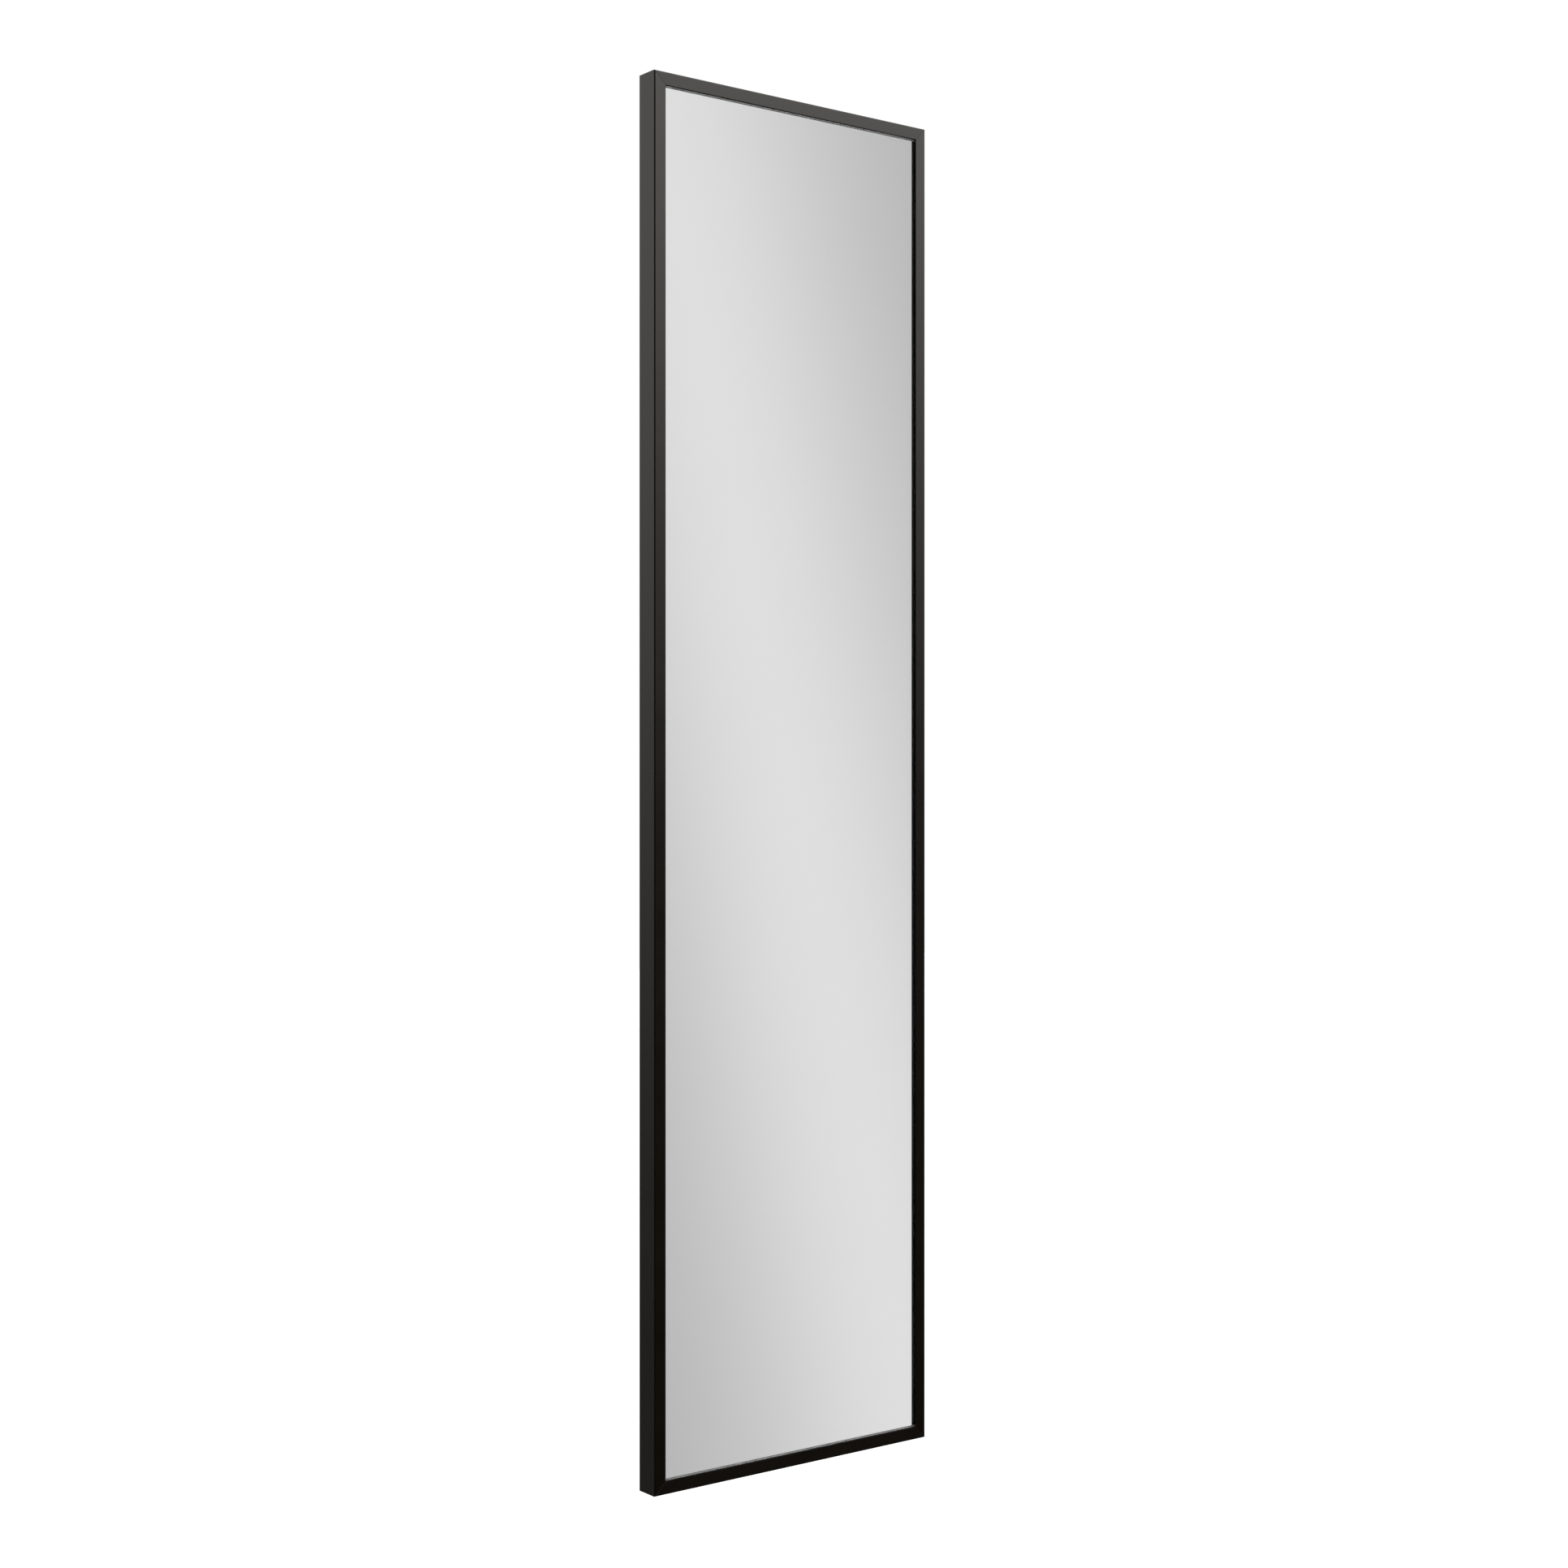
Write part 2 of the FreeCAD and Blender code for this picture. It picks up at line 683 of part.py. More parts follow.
def bar_screws(side):
    return [(x, side * cross_bar_level + offset) for x in bar_end_x()
            for offset in (-bar_screw_offset, bar_screw_offset)]


def make_cross_bar(side):
    level = side * cross_bar_level
    half = cross_bar_height / 2
    bar = rounded_plate(mirror_left + bar_margin, mirror_right - bar_margin, mirror_front_y + hook_rear,
                        mirror_back_y, level - half, level + half, bar_corner)
    threaded = [rod(screw_radius, (x, 0, z), (x, mirror_front_y, z)) for x, z in leaf_screws()]
    holes = [rod(screw_hole_radius, (x, 0, z), (x, mirror_front_y, z)) for x, z in bar_screws(side)]
    return bar.cut(threaded + holes)


def make_slot_nuts():
    half = (key_end - key_start) / 2
    nuts = []
    for _, side in levels:
        for x in bar_end_x():
            level = side * cross_bar_level
            nut = box(x - half, x + half, mirror_front_y + key_front, mirror_front_y + key_rear,
                      level - slot_nut_length / 2, level + slot_nut_length / 2)
            nuts.append(nut.cut([rod(screw_radius, (hx, 0, z), (hx, mirror_front_y, z))
                                 for hx, z in bar_screws(side)]))
    return group(nuts)


def make_cross_bar_screws():
    return group(button_screw((x, mirror_back_y, z), (0, 1, 0), bar_screw_length)
                 for _, side in levels for x, z in bar_screws(side))


# ---------------------------------------------------------------- assembly

parts["wall_plate"] = make_wall_plate()
parts["slide_rivets"] = group(rivet(x, side) for x in rivet_places for _, side in levels)
for name, side in levels:
    parts[name + "_outer_member"] = make_outer_member(side)
    parts[name + "_middle_member"] = make_middle_member(side)
    parts[name + "_inner_member"] = make_inner_member(side)
    parts[name + "_outer_cage"] = make_cage(side, outer_cage_web_y, outer_ball_y, outer_row)
    parts[name + "_inner_cage"] = make_cage(side, inner_cage_web_y, inner_ball_y, inner_row)
    parts[name + "_outer_balls"] = make_balls(side, outer_ball_y, outer_row)
    parts[name + "_inner_balls"] = make_balls(side, inner_ball_y, inner_row)
    parts[name + "_hold_in_catch"] = make_catch(side)
    parts[name + "_pivot_bush"] = make_pivot_bush(side)
    parts[name + "_disc_spring"] = make_disc_spring(side)
    parts[name + "_lock_nut"] = make_lock_nut(side)
    parts[name + "_pivot_bolt"] = make_pivot_bolt(side)
    parts["cross_bar_" + name] = make_cross_bar(side)

parts["carriage_plate"] = make_carriage_plate()
parts["carriage_screws"] = make_carriage_screws()
parts["rubber_bumpers"] = make_bumpers()
parts["hinge_plate"] = make_hinge_plate()
parts["hinge_plate_screws"] = make_hinge_screws()

for name, side in frame_sides.items():
    parts[name] = make_frame_member(side)
for name, corner in corners.items():
    parts["corner_key_" + name] = make_corner_key(*corner)
parts["corner_key_screws"] = group(make_set_screw(point) for corner in corners.values()
                                   for point in key_screw_points(*corner))

parts["glazing_tape"] = make_glazing_tape()
parts["mirror_glass"] = pane(pane_margin, glass_front, glass_thickness)
parts["safety_film"] = pane(pane_margin, film_front, film_thickness)
parts["backing_board"] = pane(pane_margin, board_front, board_thickness)
parts["spring_clips"] = make_spring_clips()
parts["cross_bar_slot_nuts"] = make_slot_nuts()
parts["cross_bar_screws"] = make_cross_bar_screws()

os.makedirs("parts", exist_ok=True)
for name, shape in parts.items():
    shape.exportStep("parts/" + name + ".step")
    state = "valid" if shape.isValid() else "INVALID"
    print(name, len(shape.Solids), "solids", round(shape.Volume), "mm3", state)
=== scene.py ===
import math

import bmesh
import bpy
from mathutils import Matrix, Vector


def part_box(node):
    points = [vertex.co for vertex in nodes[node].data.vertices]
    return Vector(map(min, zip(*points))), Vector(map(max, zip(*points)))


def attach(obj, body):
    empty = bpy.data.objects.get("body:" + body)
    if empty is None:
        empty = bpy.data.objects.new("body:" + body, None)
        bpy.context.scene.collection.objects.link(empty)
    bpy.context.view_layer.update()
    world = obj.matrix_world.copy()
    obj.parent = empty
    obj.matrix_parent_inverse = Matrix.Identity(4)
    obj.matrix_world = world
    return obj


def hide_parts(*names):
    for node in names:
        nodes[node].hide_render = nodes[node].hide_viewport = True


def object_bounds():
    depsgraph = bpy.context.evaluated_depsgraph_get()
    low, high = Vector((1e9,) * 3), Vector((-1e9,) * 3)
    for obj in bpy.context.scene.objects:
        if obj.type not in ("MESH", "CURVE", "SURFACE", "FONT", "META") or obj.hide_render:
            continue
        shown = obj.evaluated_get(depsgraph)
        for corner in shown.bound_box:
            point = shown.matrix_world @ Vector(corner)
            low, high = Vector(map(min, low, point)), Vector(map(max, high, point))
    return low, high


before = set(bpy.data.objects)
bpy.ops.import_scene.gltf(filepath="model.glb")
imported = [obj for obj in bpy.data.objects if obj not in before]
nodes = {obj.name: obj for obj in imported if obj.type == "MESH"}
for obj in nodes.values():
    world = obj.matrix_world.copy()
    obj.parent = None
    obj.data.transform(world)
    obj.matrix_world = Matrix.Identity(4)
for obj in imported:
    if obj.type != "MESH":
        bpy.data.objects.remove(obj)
cadLow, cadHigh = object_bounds()
mm = 0.001
levels = (("upper", 1), ("lower", -1))  # the two slides and pivots, above and below the middle
print("frame loaded:", len(nodes), "nodes")


class Wire:  # an output socket that can be used in sums
    def __init__(self, desk, socket):
        self.desk = desk
        self.socket = socket

    def pick(self, name):  # another output of the same node
        return Wire(self.desk, self.socket.node.outputs[name])

    def maths(self, operation, first, second):
        return self.desk.add("ShaderNodeMath", {"operation": operation}, {0: first, 1: second})

    def __add__(self, other):
        return self.maths("ADD", self, other)

    def __radd__(self, other):
        return self.maths("ADD", other, self)

    def __sub__(self, other):
        return self.maths("SUBTRACT", self, other)

    def __rsub__(self, other):
        return self.maths("SUBTRACT", other, self)

    def __mul__(self, other):
        return self.maths("MULTIPLY", self, other)

    def __rmul__(self, other):
        return self.maths("MULTIPLY", other, self)

    def __truediv__(self, other):
        return self.maths("DIVIDE", self, other)

    def __rtruediv__(self, other):
        return self.maths("DIVIDE", other, self)


class Desk:  # lays nodes into one tree
    def __init__(self, tree):
        self.tree = tree

    def add(self, kind, settings=None, inputs=None, out=0):
        node = self.tree.nodes.new(kind)
        for key, value in (settings or {}).items():
            if key == "stops":
                self.setStops(node.color_ramp, value)
            else:
                setattr(node, key, value)
        for key, value in (inputs or {}).items():
            if isinstance(value, Wire):
                self.tree.links.new(value.socket, node.inputs[key])
            else:
                node.inputs[key].default_value = value
        return Wire(self, node.outputs[out] if len(node.outputs) else None)

    def setStops(self, ramp, stops):
        while len(ramp.elements) < len(stops):
            ramp.elements.new(1.0)
        for element, (place, shade) in zip(ramp.elements, stops):
            element.position = place
            element.color = (shade, shade, shade, 1)

    def mixColour(self, factor, first, second):
        return self.add("ShaderNodeMix", {"data_type": "RGBA"}, {0: factor, 6: first, 7: second}, out=2)

    def grain(self, scale, detail, stretch=(1, 1, 1)):  # scale is per metre
        place = self.add("ShaderNodeTexCoord", out="Object")
        spread = self.add("ShaderNodeMapping", {}, {"Vector": place, "Scale": stretch})
        return self.add("ShaderNodeTexNoise", {}, {"Vector": spread, "Scale": scale, "Detail": detail})

    def ramp(self, value, stops):
        return self.add("ShaderNodeValToRGB", {"stops": stops}, {"Fac": value})


def grey(shade, warmth=0.0):
    return (shade * (1 + warmth), shade, shade * (1 - warmth), 1)


def newMaterial(name):
    material = bpy.data.materials.new(name)
    material.use_nodes = True
    material.node_tree.nodes.clear()
    return material, Desk(material.node_tree)


def principled(desk, inputs):
    shader = desk.add("ShaderNodeBsdfPrincipled", {}, inputs)
    desk.add("ShaderNodeOutputMaterial", {}, {"Surface": shader})


def bumped(desk, height, strength, depth):  # depth is in millimetres
    return desk.add("ShaderNodeBump", {}, {"Height": height, "Strength": strength, "Distance": depth * mm},
                    out="Normal")


# In each finish, a grain is (scale, detail) or (scale, detail, stretch), and a bump is (strength, depth).

frameLook = {
    "tint": (grey(0.0018, 0.5), grey(0.0036, 0.5)), "mottle": (26, 4.0),
    "lines": (1500, 2.0), "stretch": 0.012,  # drawn out along each member
    "roughness": 0.19, "mottled": 0.06, "lined": 0.05, "railDulling": 0.05,
    "specular": 0.5, "sheen": (1.0, 0.985, 0.96, 1), "bump": (0.2, 0.012),
}


def makeFrameBlack(name, stretch, dulling):  # satin anodising over the die lines of the extrusion
    material, desk = newMaterial(name)
    look = frameLook
    mottle = desk.grain(*look["mottle"])
    lines = desk.grain(*look["lines"], stretch)
    principled(desk, {
        "Base Color": desk.mixColour(mottle, *look["tint"]),
        "Roughness": look["roughness"] + dulling + mottle * look["mottled"] + lines * look["lined"],
        "Specular IOR Level": look["specular"],
        "Specular Tint": look["sheen"],
        "Normal": bumped(desk, lines, *look["bump"]),
    })
    return material


edgeLook = {
    "specks": (420, 5.0), "speckStops": [(0.62, 0.0), (0.74, 1.0)],
    "tint": (grey(0.002), grey(0.006, 0.3)), "roughness": 0.55, "specked": 0.1, "specular": 0.04,
}


def makeFrameEdge():  # the chamfers and the lip's inner edge, left matt by the saw and the brush
    material, desk = newMaterial("frame_edge_black")
    look = edgeLook
    specks = desk.ramp(desk.grain(*look["specks"]), look["speckStops"])
    principled(desk, {
        "Base Color": desk.mixColour(specks, *look["tint"]),
        "Roughness": look["roughness"] + look["specked"] * specks,
        "Specular IOR Level": look["specular"],
    })
    return material


lipLook = {"specks": (420, 5.0), "tint": (grey(0.002), grey(0.005, 0.3)), "roughness": 0.003, "ior": 1.38}


def makeLipGloss():  # the lip's inner wall, burnished where the tape roller runs
    material, desk = newMaterial("frame_lip_gloss")
    specks = desk.grain(*lipLook["specks"])
    principled(desk, {
        "Base Color": desk.mixColour(specks, *lipLook["tint"]),
        "Roughness": lipLook["roughness"] * specks,
        "IOR": lipLook["ior"],
    })
    return material


silverLook = {"haze": (9, 3.0), "tint": (grey(0.912), grey(0.926)), "tarnish": 0.015, "roughness": 0.003}


def makeSilver():
    material, desk = newMaterial("mirror_silver")
    haze = desk.grain(*silverLook["haze"])
    principled(desk, {
        "Base Color": desk.mixColour(haze, *silverLook["tint"]),
        "Metallic": 1.0 - silverLook["tarnish"] * haze,
        "Roughness": silverLook["roughness"] * haze,
    })
    return material


glassLook = {
    "haze": (14, 4.0), "tint": ((0.991, 0.994, 0.993, 1), (0.994, 0.996, 0.995, 1)),
    "roughness": 0.002, "ior": 1.52, "shine": grey(0.05),
}


def makeClearGlass():
    material, desk = newMaterial("clear_float_glass")
    haze = desk.grain(*glassLook["haze"])
    principled(desk, {
        "Base Color": desk.mixColour(haze, *glassLook["tint"]),
        "Roughness": glassLook["roughness"] * haze,
        "IOR": glassLook["ior"],
        "Transmission Weight": 1.0,
        "Specular Tint": glassLook["shine"],
    })
    return material


coatLook = {
    "peel": (750, 2.0), "mottle": (40, 3.0), "tint": (grey(0.014), grey(0.024)),
    "peak": grey(0.034), "peaks": 0.35, "roughness": 0.38, "mottled": 0.1, "peeled": 0.08,
    "specular": 0.45, "bump": (0.7, 0.12),
}


def makePowderCoat():
    material, desk = newMaterial("black_powder_coat")
    look = coatLook
    peel = desk.grain(*look["peel"])
    mottle = desk.grain(*look["mottle"])
    tint = desk.mixColour(mottle, *look["tint"])
    principled(desk, {
        "Base Color": desk.mixColour(peel * look["peaks"], tint, look["peak"]),
        "Roughness": look["roughness"] + look["mottled"] * mottle + look["peeled"] * peel,
        "Specular IOR Level": look["specular"],
        "Normal": bumped(desk, peel, *look["bump"]),
    })
    return material


wornLook = {
    "rub": (150, 5.0), "rubStops": [(0.48, 0.0), (0.66, 1.0)], "fine": (900, 2.0),
    "tint": (grey(0.024), (0.20, 0.195, 0.19, 1)), "bared": 0.7,
    "roughness": 0.46, "rubbed": 0.12, "grained": 0.06, "specular": 0.4,
}


def makeWornCoat():  # where the coat has rubbed thin along the plates' edges
    material, desk = newMaterial("worn_powder_coat")
    look = wornLook
    rub = desk.ramp(desk.grain(*look["rub"]), look["rubStops"])
    fine = desk.grain(*look["fine"])
    principled(desk, {
        "Base Color": desk.mixColour(rub, *look["tint"]),
        "Metallic": look["bared"] * rub,
        "Roughness": look["roughness"] - look["rubbed"] * rub + look["grained"] * fine,
        "Specular IOR Level": look["specular"],
    })
    return material


boardLook = {
    "cloud": (7, 5.0), "tint": ((0.150, 0.083, 0.043, 1), (0.205, 0.120, 0.064, 1)),
    "fibre": (1100, 5.0, (1.0, 1.0, 0.35)), "fibreTint": (0.5, (0.100, 0.053, 0.028, 1)),
    "pale": (1500, 5.0, (1.0, 1.0, 0.45)), "paleStops": [(0.56, 0.0), (0.70, 1.0)],
    "paleTint": (0.3, (0.29, 0.185, 0.11, 1)),
    "dark": (850, 6.0), "darkStops": [(0.60, 0.0), (0.72, 1.0)], "darkTint": (0.5, (0.07, 0.036, 0.02, 1)),
    "roughness": 0.58, "fibred": 0.2, "specular": 0.35, "bump": (0.35, 0.08),
}


def makeHardboard():
    material, desk = newMaterial("brown_hardboard")
    look = boardLook
    fibre = desk.grain(*look["fibre"])
    pale = desk.ramp(desk.grain(*look["pale"]), look["paleStops"])
    dark = desk.ramp(desk.grain(*look["dark"]), look["darkStops"])
    tint = desk.mixColour(desk.grain(*look["cloud"]), *look["tint"])
    for mask, kind in ((fibre, "fibreTint"), (pale, "paleTint"), (dark, "darkTint")):
        share, shade = look[kind]
        tint = desk.mixColour(mask * share, tint, shade)
    principled(desk, {
        "Base Color": tint,
        "Roughness": look["roughness"] + look["fibred"] * fibre,
        "Specular IOR Level": look["specular"],
        "Normal": bumped(desk, fibre, *look["bump"]),
    })
    return material


zincLook = {
    "spangle": (180, 5.0), "cool": (0.93, 0.95, 0.99), "warm": (1.05, 1.04, 1.0),
    "drawn": (900, 3.0, (0.03, 1.0, 1.0)), "spangled": 0.12, "lined": 0.1, "bump": (0.2, 0.02),
}


def makeZinc(name, shade, roughness):
    material, desk = newMaterial(name)
    look = zincLook
    spangle = desk.grain(*look["spangle"])
    drawn = desk.grain(*look["drawn"])  # faint lines along the slide

    def tinted(parts):
        return (*(shade * part for part in parts), 1)

    principled(desk, {
        "Base Color": desk.mixColour(spangle, tinted(look["cool"]), tinted(look["warm"])),
        "Metallic": 1.0,
        "Roughness": roughness + look["spangled"] * spangle + look["lined"] * drawn,
        "Normal": bumped(desk, drawn, *look["bump"]),
    })
    return material


metalLooks = {
    "black_oxide_steel": {
        "film": (700, 3.0), "tint": (grey(0.03), grey(0.055, -0.04)), "metallic": 0.85,
        "roughness": 0.3, "filmed": 0.18, "bump": (0.15, 0.02)},
    "spring_steel": {
        "film": (1100, 3.0, (1.0, 1.0, 0.06)), "tint": ((0.48, 0.49, 0.52, 1), (0.62, 0.61, 0.59, 1)),
        "metallic": 1.0, "roughness": 0.34, "filmed": 0.15, "bump": (0.2, 0.02)},
    "polished_ball_steel": {
        "film": (1600, 2.0), "tint": ((0.72, 0.72, 0.73, 1), (0.66, 0.64, 0.60, 1)),
        "metallic": 1.0, "roughness": 0.07, "filmed": 0.08},
}


def makeMetal(name):
    material, desk = newMaterial(name)
    look = metalLooks[name]
    film = desk.grain(*look["film"])
    inputs = {
        "Base Color": desk.mixColour(film, *look["tint"]),
        "Metallic": look["metallic"],
        "Roughness": look["roughness"] + look["filmed"] * film,
    }
    if "bump" in look:
        inputs["Normal"] = bumped(desk, film, *look["bump"])
    principled(desk, inputs)
    return material


plasticLook = {
    "cloud": (90, 3.0), "deeper": 0.88, "warmer": 1.3,
    "fine": (1900, 2.0), "grained": 0.1, "bump": (0.2, 0.03),
}


def makePlastic(name, shade, warmth, roughness):
    material, desk = newMaterial(name)
    look = plasticLook
    cloud = desk.grain(*look["cloud"])
    fine = desk.grain(*look["fine"])
    principled(desk, {
        "Base Color": desk.mixColour(cloud, grey(shade, warmth),
                                     grey(shade * look["deeper"], warmth * look["warmer"])),
        "Roughness": roughness + look["grained"] * fine,
        "Normal": bumped(desk, fine, *look["bump"]),
    })
    return material


# the pale colour under the rails is painted light, not the tape's own colour; the tape's own colour is the
# black along the stiles
foamLook = {
    "black": grey(0.012), "pale": grey(0.9), "railStart": 0.5972, "railEnd": 0.5978,
    "cell": (2600, 2.0), "pore": grey(0.05), "pores": 0.08,
    "roughness": 0.8, "celled": 0.1, "bump": (0.3, 0.05),
}


def makeFoamTape():  # black along the stiles and pale under the rails; the pale under the rails is painted light, a painted light strip standing in for the lit band there
    material, desk = newMaterial("foam_glazing_tape")
    look = foamLook
    place = desk.add("ShaderNodeTexCoord", out="Object")
    height = desk.add("ShaderNodeSeparateXYZ", {}, {"Vector": place}).pick("Z")
    distance = desk.add("ShaderNodeMath", {"operation": "ABSOLUTE"}, {0: height})
    # painted light: the tape turns pale where it lies under the rails, painting a light strip there
    paintedRailStrip = desk.add("ShaderNodeMapRange", {}, {
        "Value": distance, "From Min": look["railStart"], "From Max": look["railEnd"]})
    cell = desk.grain(*look["cell"])
    tint = desk.mixColour(paintedRailStrip, look["black"], look["pale"])
    principled(desk, {
        "Base Color": desk.mixColour(cell * look["pores"], tint, look["pore"]),
        "Roughness": look["roughness"] + look["celled"] * cell,
        "Normal": bumped(desk, cell, *look["bump"]),
    })
    return material


stretch = frameLook["stretch"]
uprightBlack = makeFrameBlack("frame_satin_black_upright", (1, 1, stretch), 0.0)
levelBlack = makeFrameBlack("frame_satin_black_level", (stretch, 1, 1), frameLook["railDulling"])
frameEdge = makeFrameEdge()
lipGloss = makeLipGloss()
silver = makeSilver()
clearGlass = makeClearGlass()
powderCoat = makePowderCoat()
wornCoat = makeWornCoat()
hardboard = makeHardboard()
slideZinc = makeZinc("bright_zinc", shade=0.62, roughness=0.32)
keyZinc = makeZinc("dull_zinc", shade=0.50, roughness=0.38)
blackOxide = makeMetal("black_oxide_steel")
springSteel = makeMetal("spring_steel")
ballSteel = makeMetal("polished_ball_steel")
nylon = makePlastic("natural_nylon", shade=0.72, warmth=0.03, roughness=0.42)
filmPlastic = makePlastic("safety_film", shade=0.55, warmth=-0.02, roughness=0.5)
rubber = makePlastic("black_rubber", shade=0.018, warmth=0.0, roughness=0.62)
foamTape = makeFoamTape()
print("finishes made")


softEdge = {"segments": 2, "angle": 32, "weight": 80, "merge": 0.002, "flat": 0.6}
sharpAngle = math.radians(38)  # a turned part's steps above this stay crisp
turnSteps = {"small": 24, "pivot": 36}


def newObject(name, mesh):
    obj = bpy.data.objects.new(name, mesh)
    bpy.context.scene.collection.objects.link(obj)
    return obj


def meshObject(name, build, material=None):  # build fills a bmesh
    sheet = bmesh.new()
    build(sheet)
    mesh = bpy.data.meshes.new(name)
    sheet.to_mesh(mesh)
    sheet.free()
    if material:
        mesh.materials.append(material)
    return newObject(name, mesh)


def plainMesh(obj):  # puts the result of the modifiers into the mesh
    bpy.context.view_layer.update()
    graph = bpy.context.evaluated_depsgraph_get()
    mesh = bpy.data.meshes.new_from_object(obj.evaluated_get(graph))
    obj.modifiers.clear()
    obj.data = mesh
    return obj


def softenEdges(obj, width, worn=None):  # worn is the finish of the rounded edges
    obj.data.shade_smooth()
    bevel = obj.modifiers.new("softEdges", "BEVEL")
    bevel.width = width
    bevel.segments = softEdge["segments"]
    bevel.limit_method = "ANGLE"
    bevel.angle_limit = math.radians(softEdge["angle"])
    if worn:
        obj.data.materials.append(worn)
        bevel.material = len(obj.data.materials) - 1
    flatten = obj.modifiers.new("flatFaces", "WEIGHTED_NORMAL")  # keeps the broad faces flat
    flatten.weight = softEdge["weight"]
    flatten.keep_sharp = False
    return plainMesh(obj)


def smoothTurned(mesh):
    mesh.shade_smooth()
    mesh.set_sharp_from_angle(angle=sharpAngle)


def finishPiece(obj, body, slot, *replaced):
    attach(obj, body)
    if replaced:
        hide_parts(*replaced)
    return obj


def slab(name, low, high, material, edge):
    def build(sheet):
        bmesh.ops.create_cube(sheet, size=1.0)
        size = Vector(high) - Vector(low)
        middle = (Vector(high) + Vector(low)) / 2
        bmesh.ops.scale(sheet, vec=size, verts=sheet.verts)
        bmesh.ops.translate(sheet, vec=middle, verts=sheet.verts)
    obj = meshObject(name, build, material)
    bevel = obj.modifiers.new("groundEdge", "BEVEL")
    bevel.width = edge
    return plainMesh(obj)  # stays flat shaded


def ringSet(rings):  # from millimetres; a ring that gives no flats is round
    return [(height * mm, radius * mm, flat[0] * mm if flat else None) for height, radius, *flat in rings]


def ringRadius(ring, angle):  # a ring is (height, round radius, half of the flats' width or None)
    _, radius, flat = ring
    if flat is None:
        return radius
    fromFlat = math.radians(math.degrees(angle) % 60 - 30)
    return min(radius, flat / math.cos(fromFlat))


def ringSolid(sheet, rings, steps, closed):  # a turned or hexagonal body about +Z
    angles = [2 * math.pi * i / steps for i in range(steps)]
    loops = []
    for ring in rings:
        height, radius, _ = ring
        if radius == 0:
            loops.append([sheet.verts.new((0, 0, height))])
            continue
        reaches = [ringRadius(ring, angle) for angle in angles]
        loops.append([sheet.verts.new((reach * math.cos(angle), reach * math.sin(angle), height))
                      for reach, angle in zip(reaches, angles)])
    pairs = list(zip(loops, loops[1:])) + ([(loops[-1], loops[0])] if closed else [])
    for lower, upper in pairs:
        for i in range(steps):
            j = (i + 1) % steps
            corners = [lower[i % len(lower)], lower[j % len(lower)],
                       upper[j % len(upper)], upper[i % len(upper)]]
            corners = [c for k, c in enumerate(corners) if c not in corners[:k]]
            sheet.faces.new(corners)
    bmesh.ops.recalc_face_normals(sheet, faces=sheet.faces)


def turnedObject(name, rings, material, place, axis, steps=turnSteps["small"], closed=False):
    obj = meshObject(name, lambda sheet: ringSolid(sheet, rings, steps, closed), material)
    turn = Vector((0, 0, 1)).rotation_difference(Vector(axis)).to_matrix().to_4x4()
    obj.data.transform(Matrix.Translation(place) @ turn)
    smoothTurned(obj.data)
    return obj


def dressedCopy(node, material, worn, edge, body, slot):  # a CAD shape with softened edges
    mesh = nodes[node].data.copy()
    mesh.materials.clear()
    mesh.materials.append(material)
    sheet = bmesh.new()
    sheet.from_mesh(mesh)
    bmesh.ops.remove_doubles(sheet, verts=sheet.verts, dist=softEdge["merge"] * mm)
    bmesh.ops.dissolve_limit(sheet, angle_limit=math.radians(softEdge["flat"]), verts=sheet.verts,
                             edges=sheet.edges)
    sheet.to_mesh(mesh)
    sheet.free()
    for polygon in mesh.polygons:
        polygon.material_index = 0
    obj = newObject(node + "_finished", mesh)
    softenEdges(obj, edge * mm, worn)
    return finishPiece(obj, body, slot, node)


def newTree(name, inputs):
    tree = bpy.data.node_groups.new(name, "GeometryNodeTree")
    tree.interface.new_socket("Geometry", in_out="OUTPUT", socket_type="NodeSocketGeometry")
    for label, kind in inputs:
        tree.interface.new_socket(label, in_out="INPUT", socket_type=kind)
    desk = Desk(tree)
    source = desk.add("NodeGroupInput")
    return tree, desk, source


def endTree(desk, geometry, material):
    real = desk.add("GeometryNodeRealizeInstances", {}, {"Geometry": geometry})
    painted = desk.add("GeometryNodeSetMaterial", {}, {"Geometry": real, "Material": material})
    desk.add("NodeGroupOutput", {}, {"Geometry": painted})


def runTree(name, tree, values):
    obj = newObject(name, bpy.data.meshes.new(name))
    modifier = obj.modifiers.new("shape", "NODES")
    modifier.node_group = tree
    for item in tree.interface.items_tree:
        if item.in_out == "INPUT":
            modifier[item.identifier] = values[item.name]
    return plainMesh(obj)


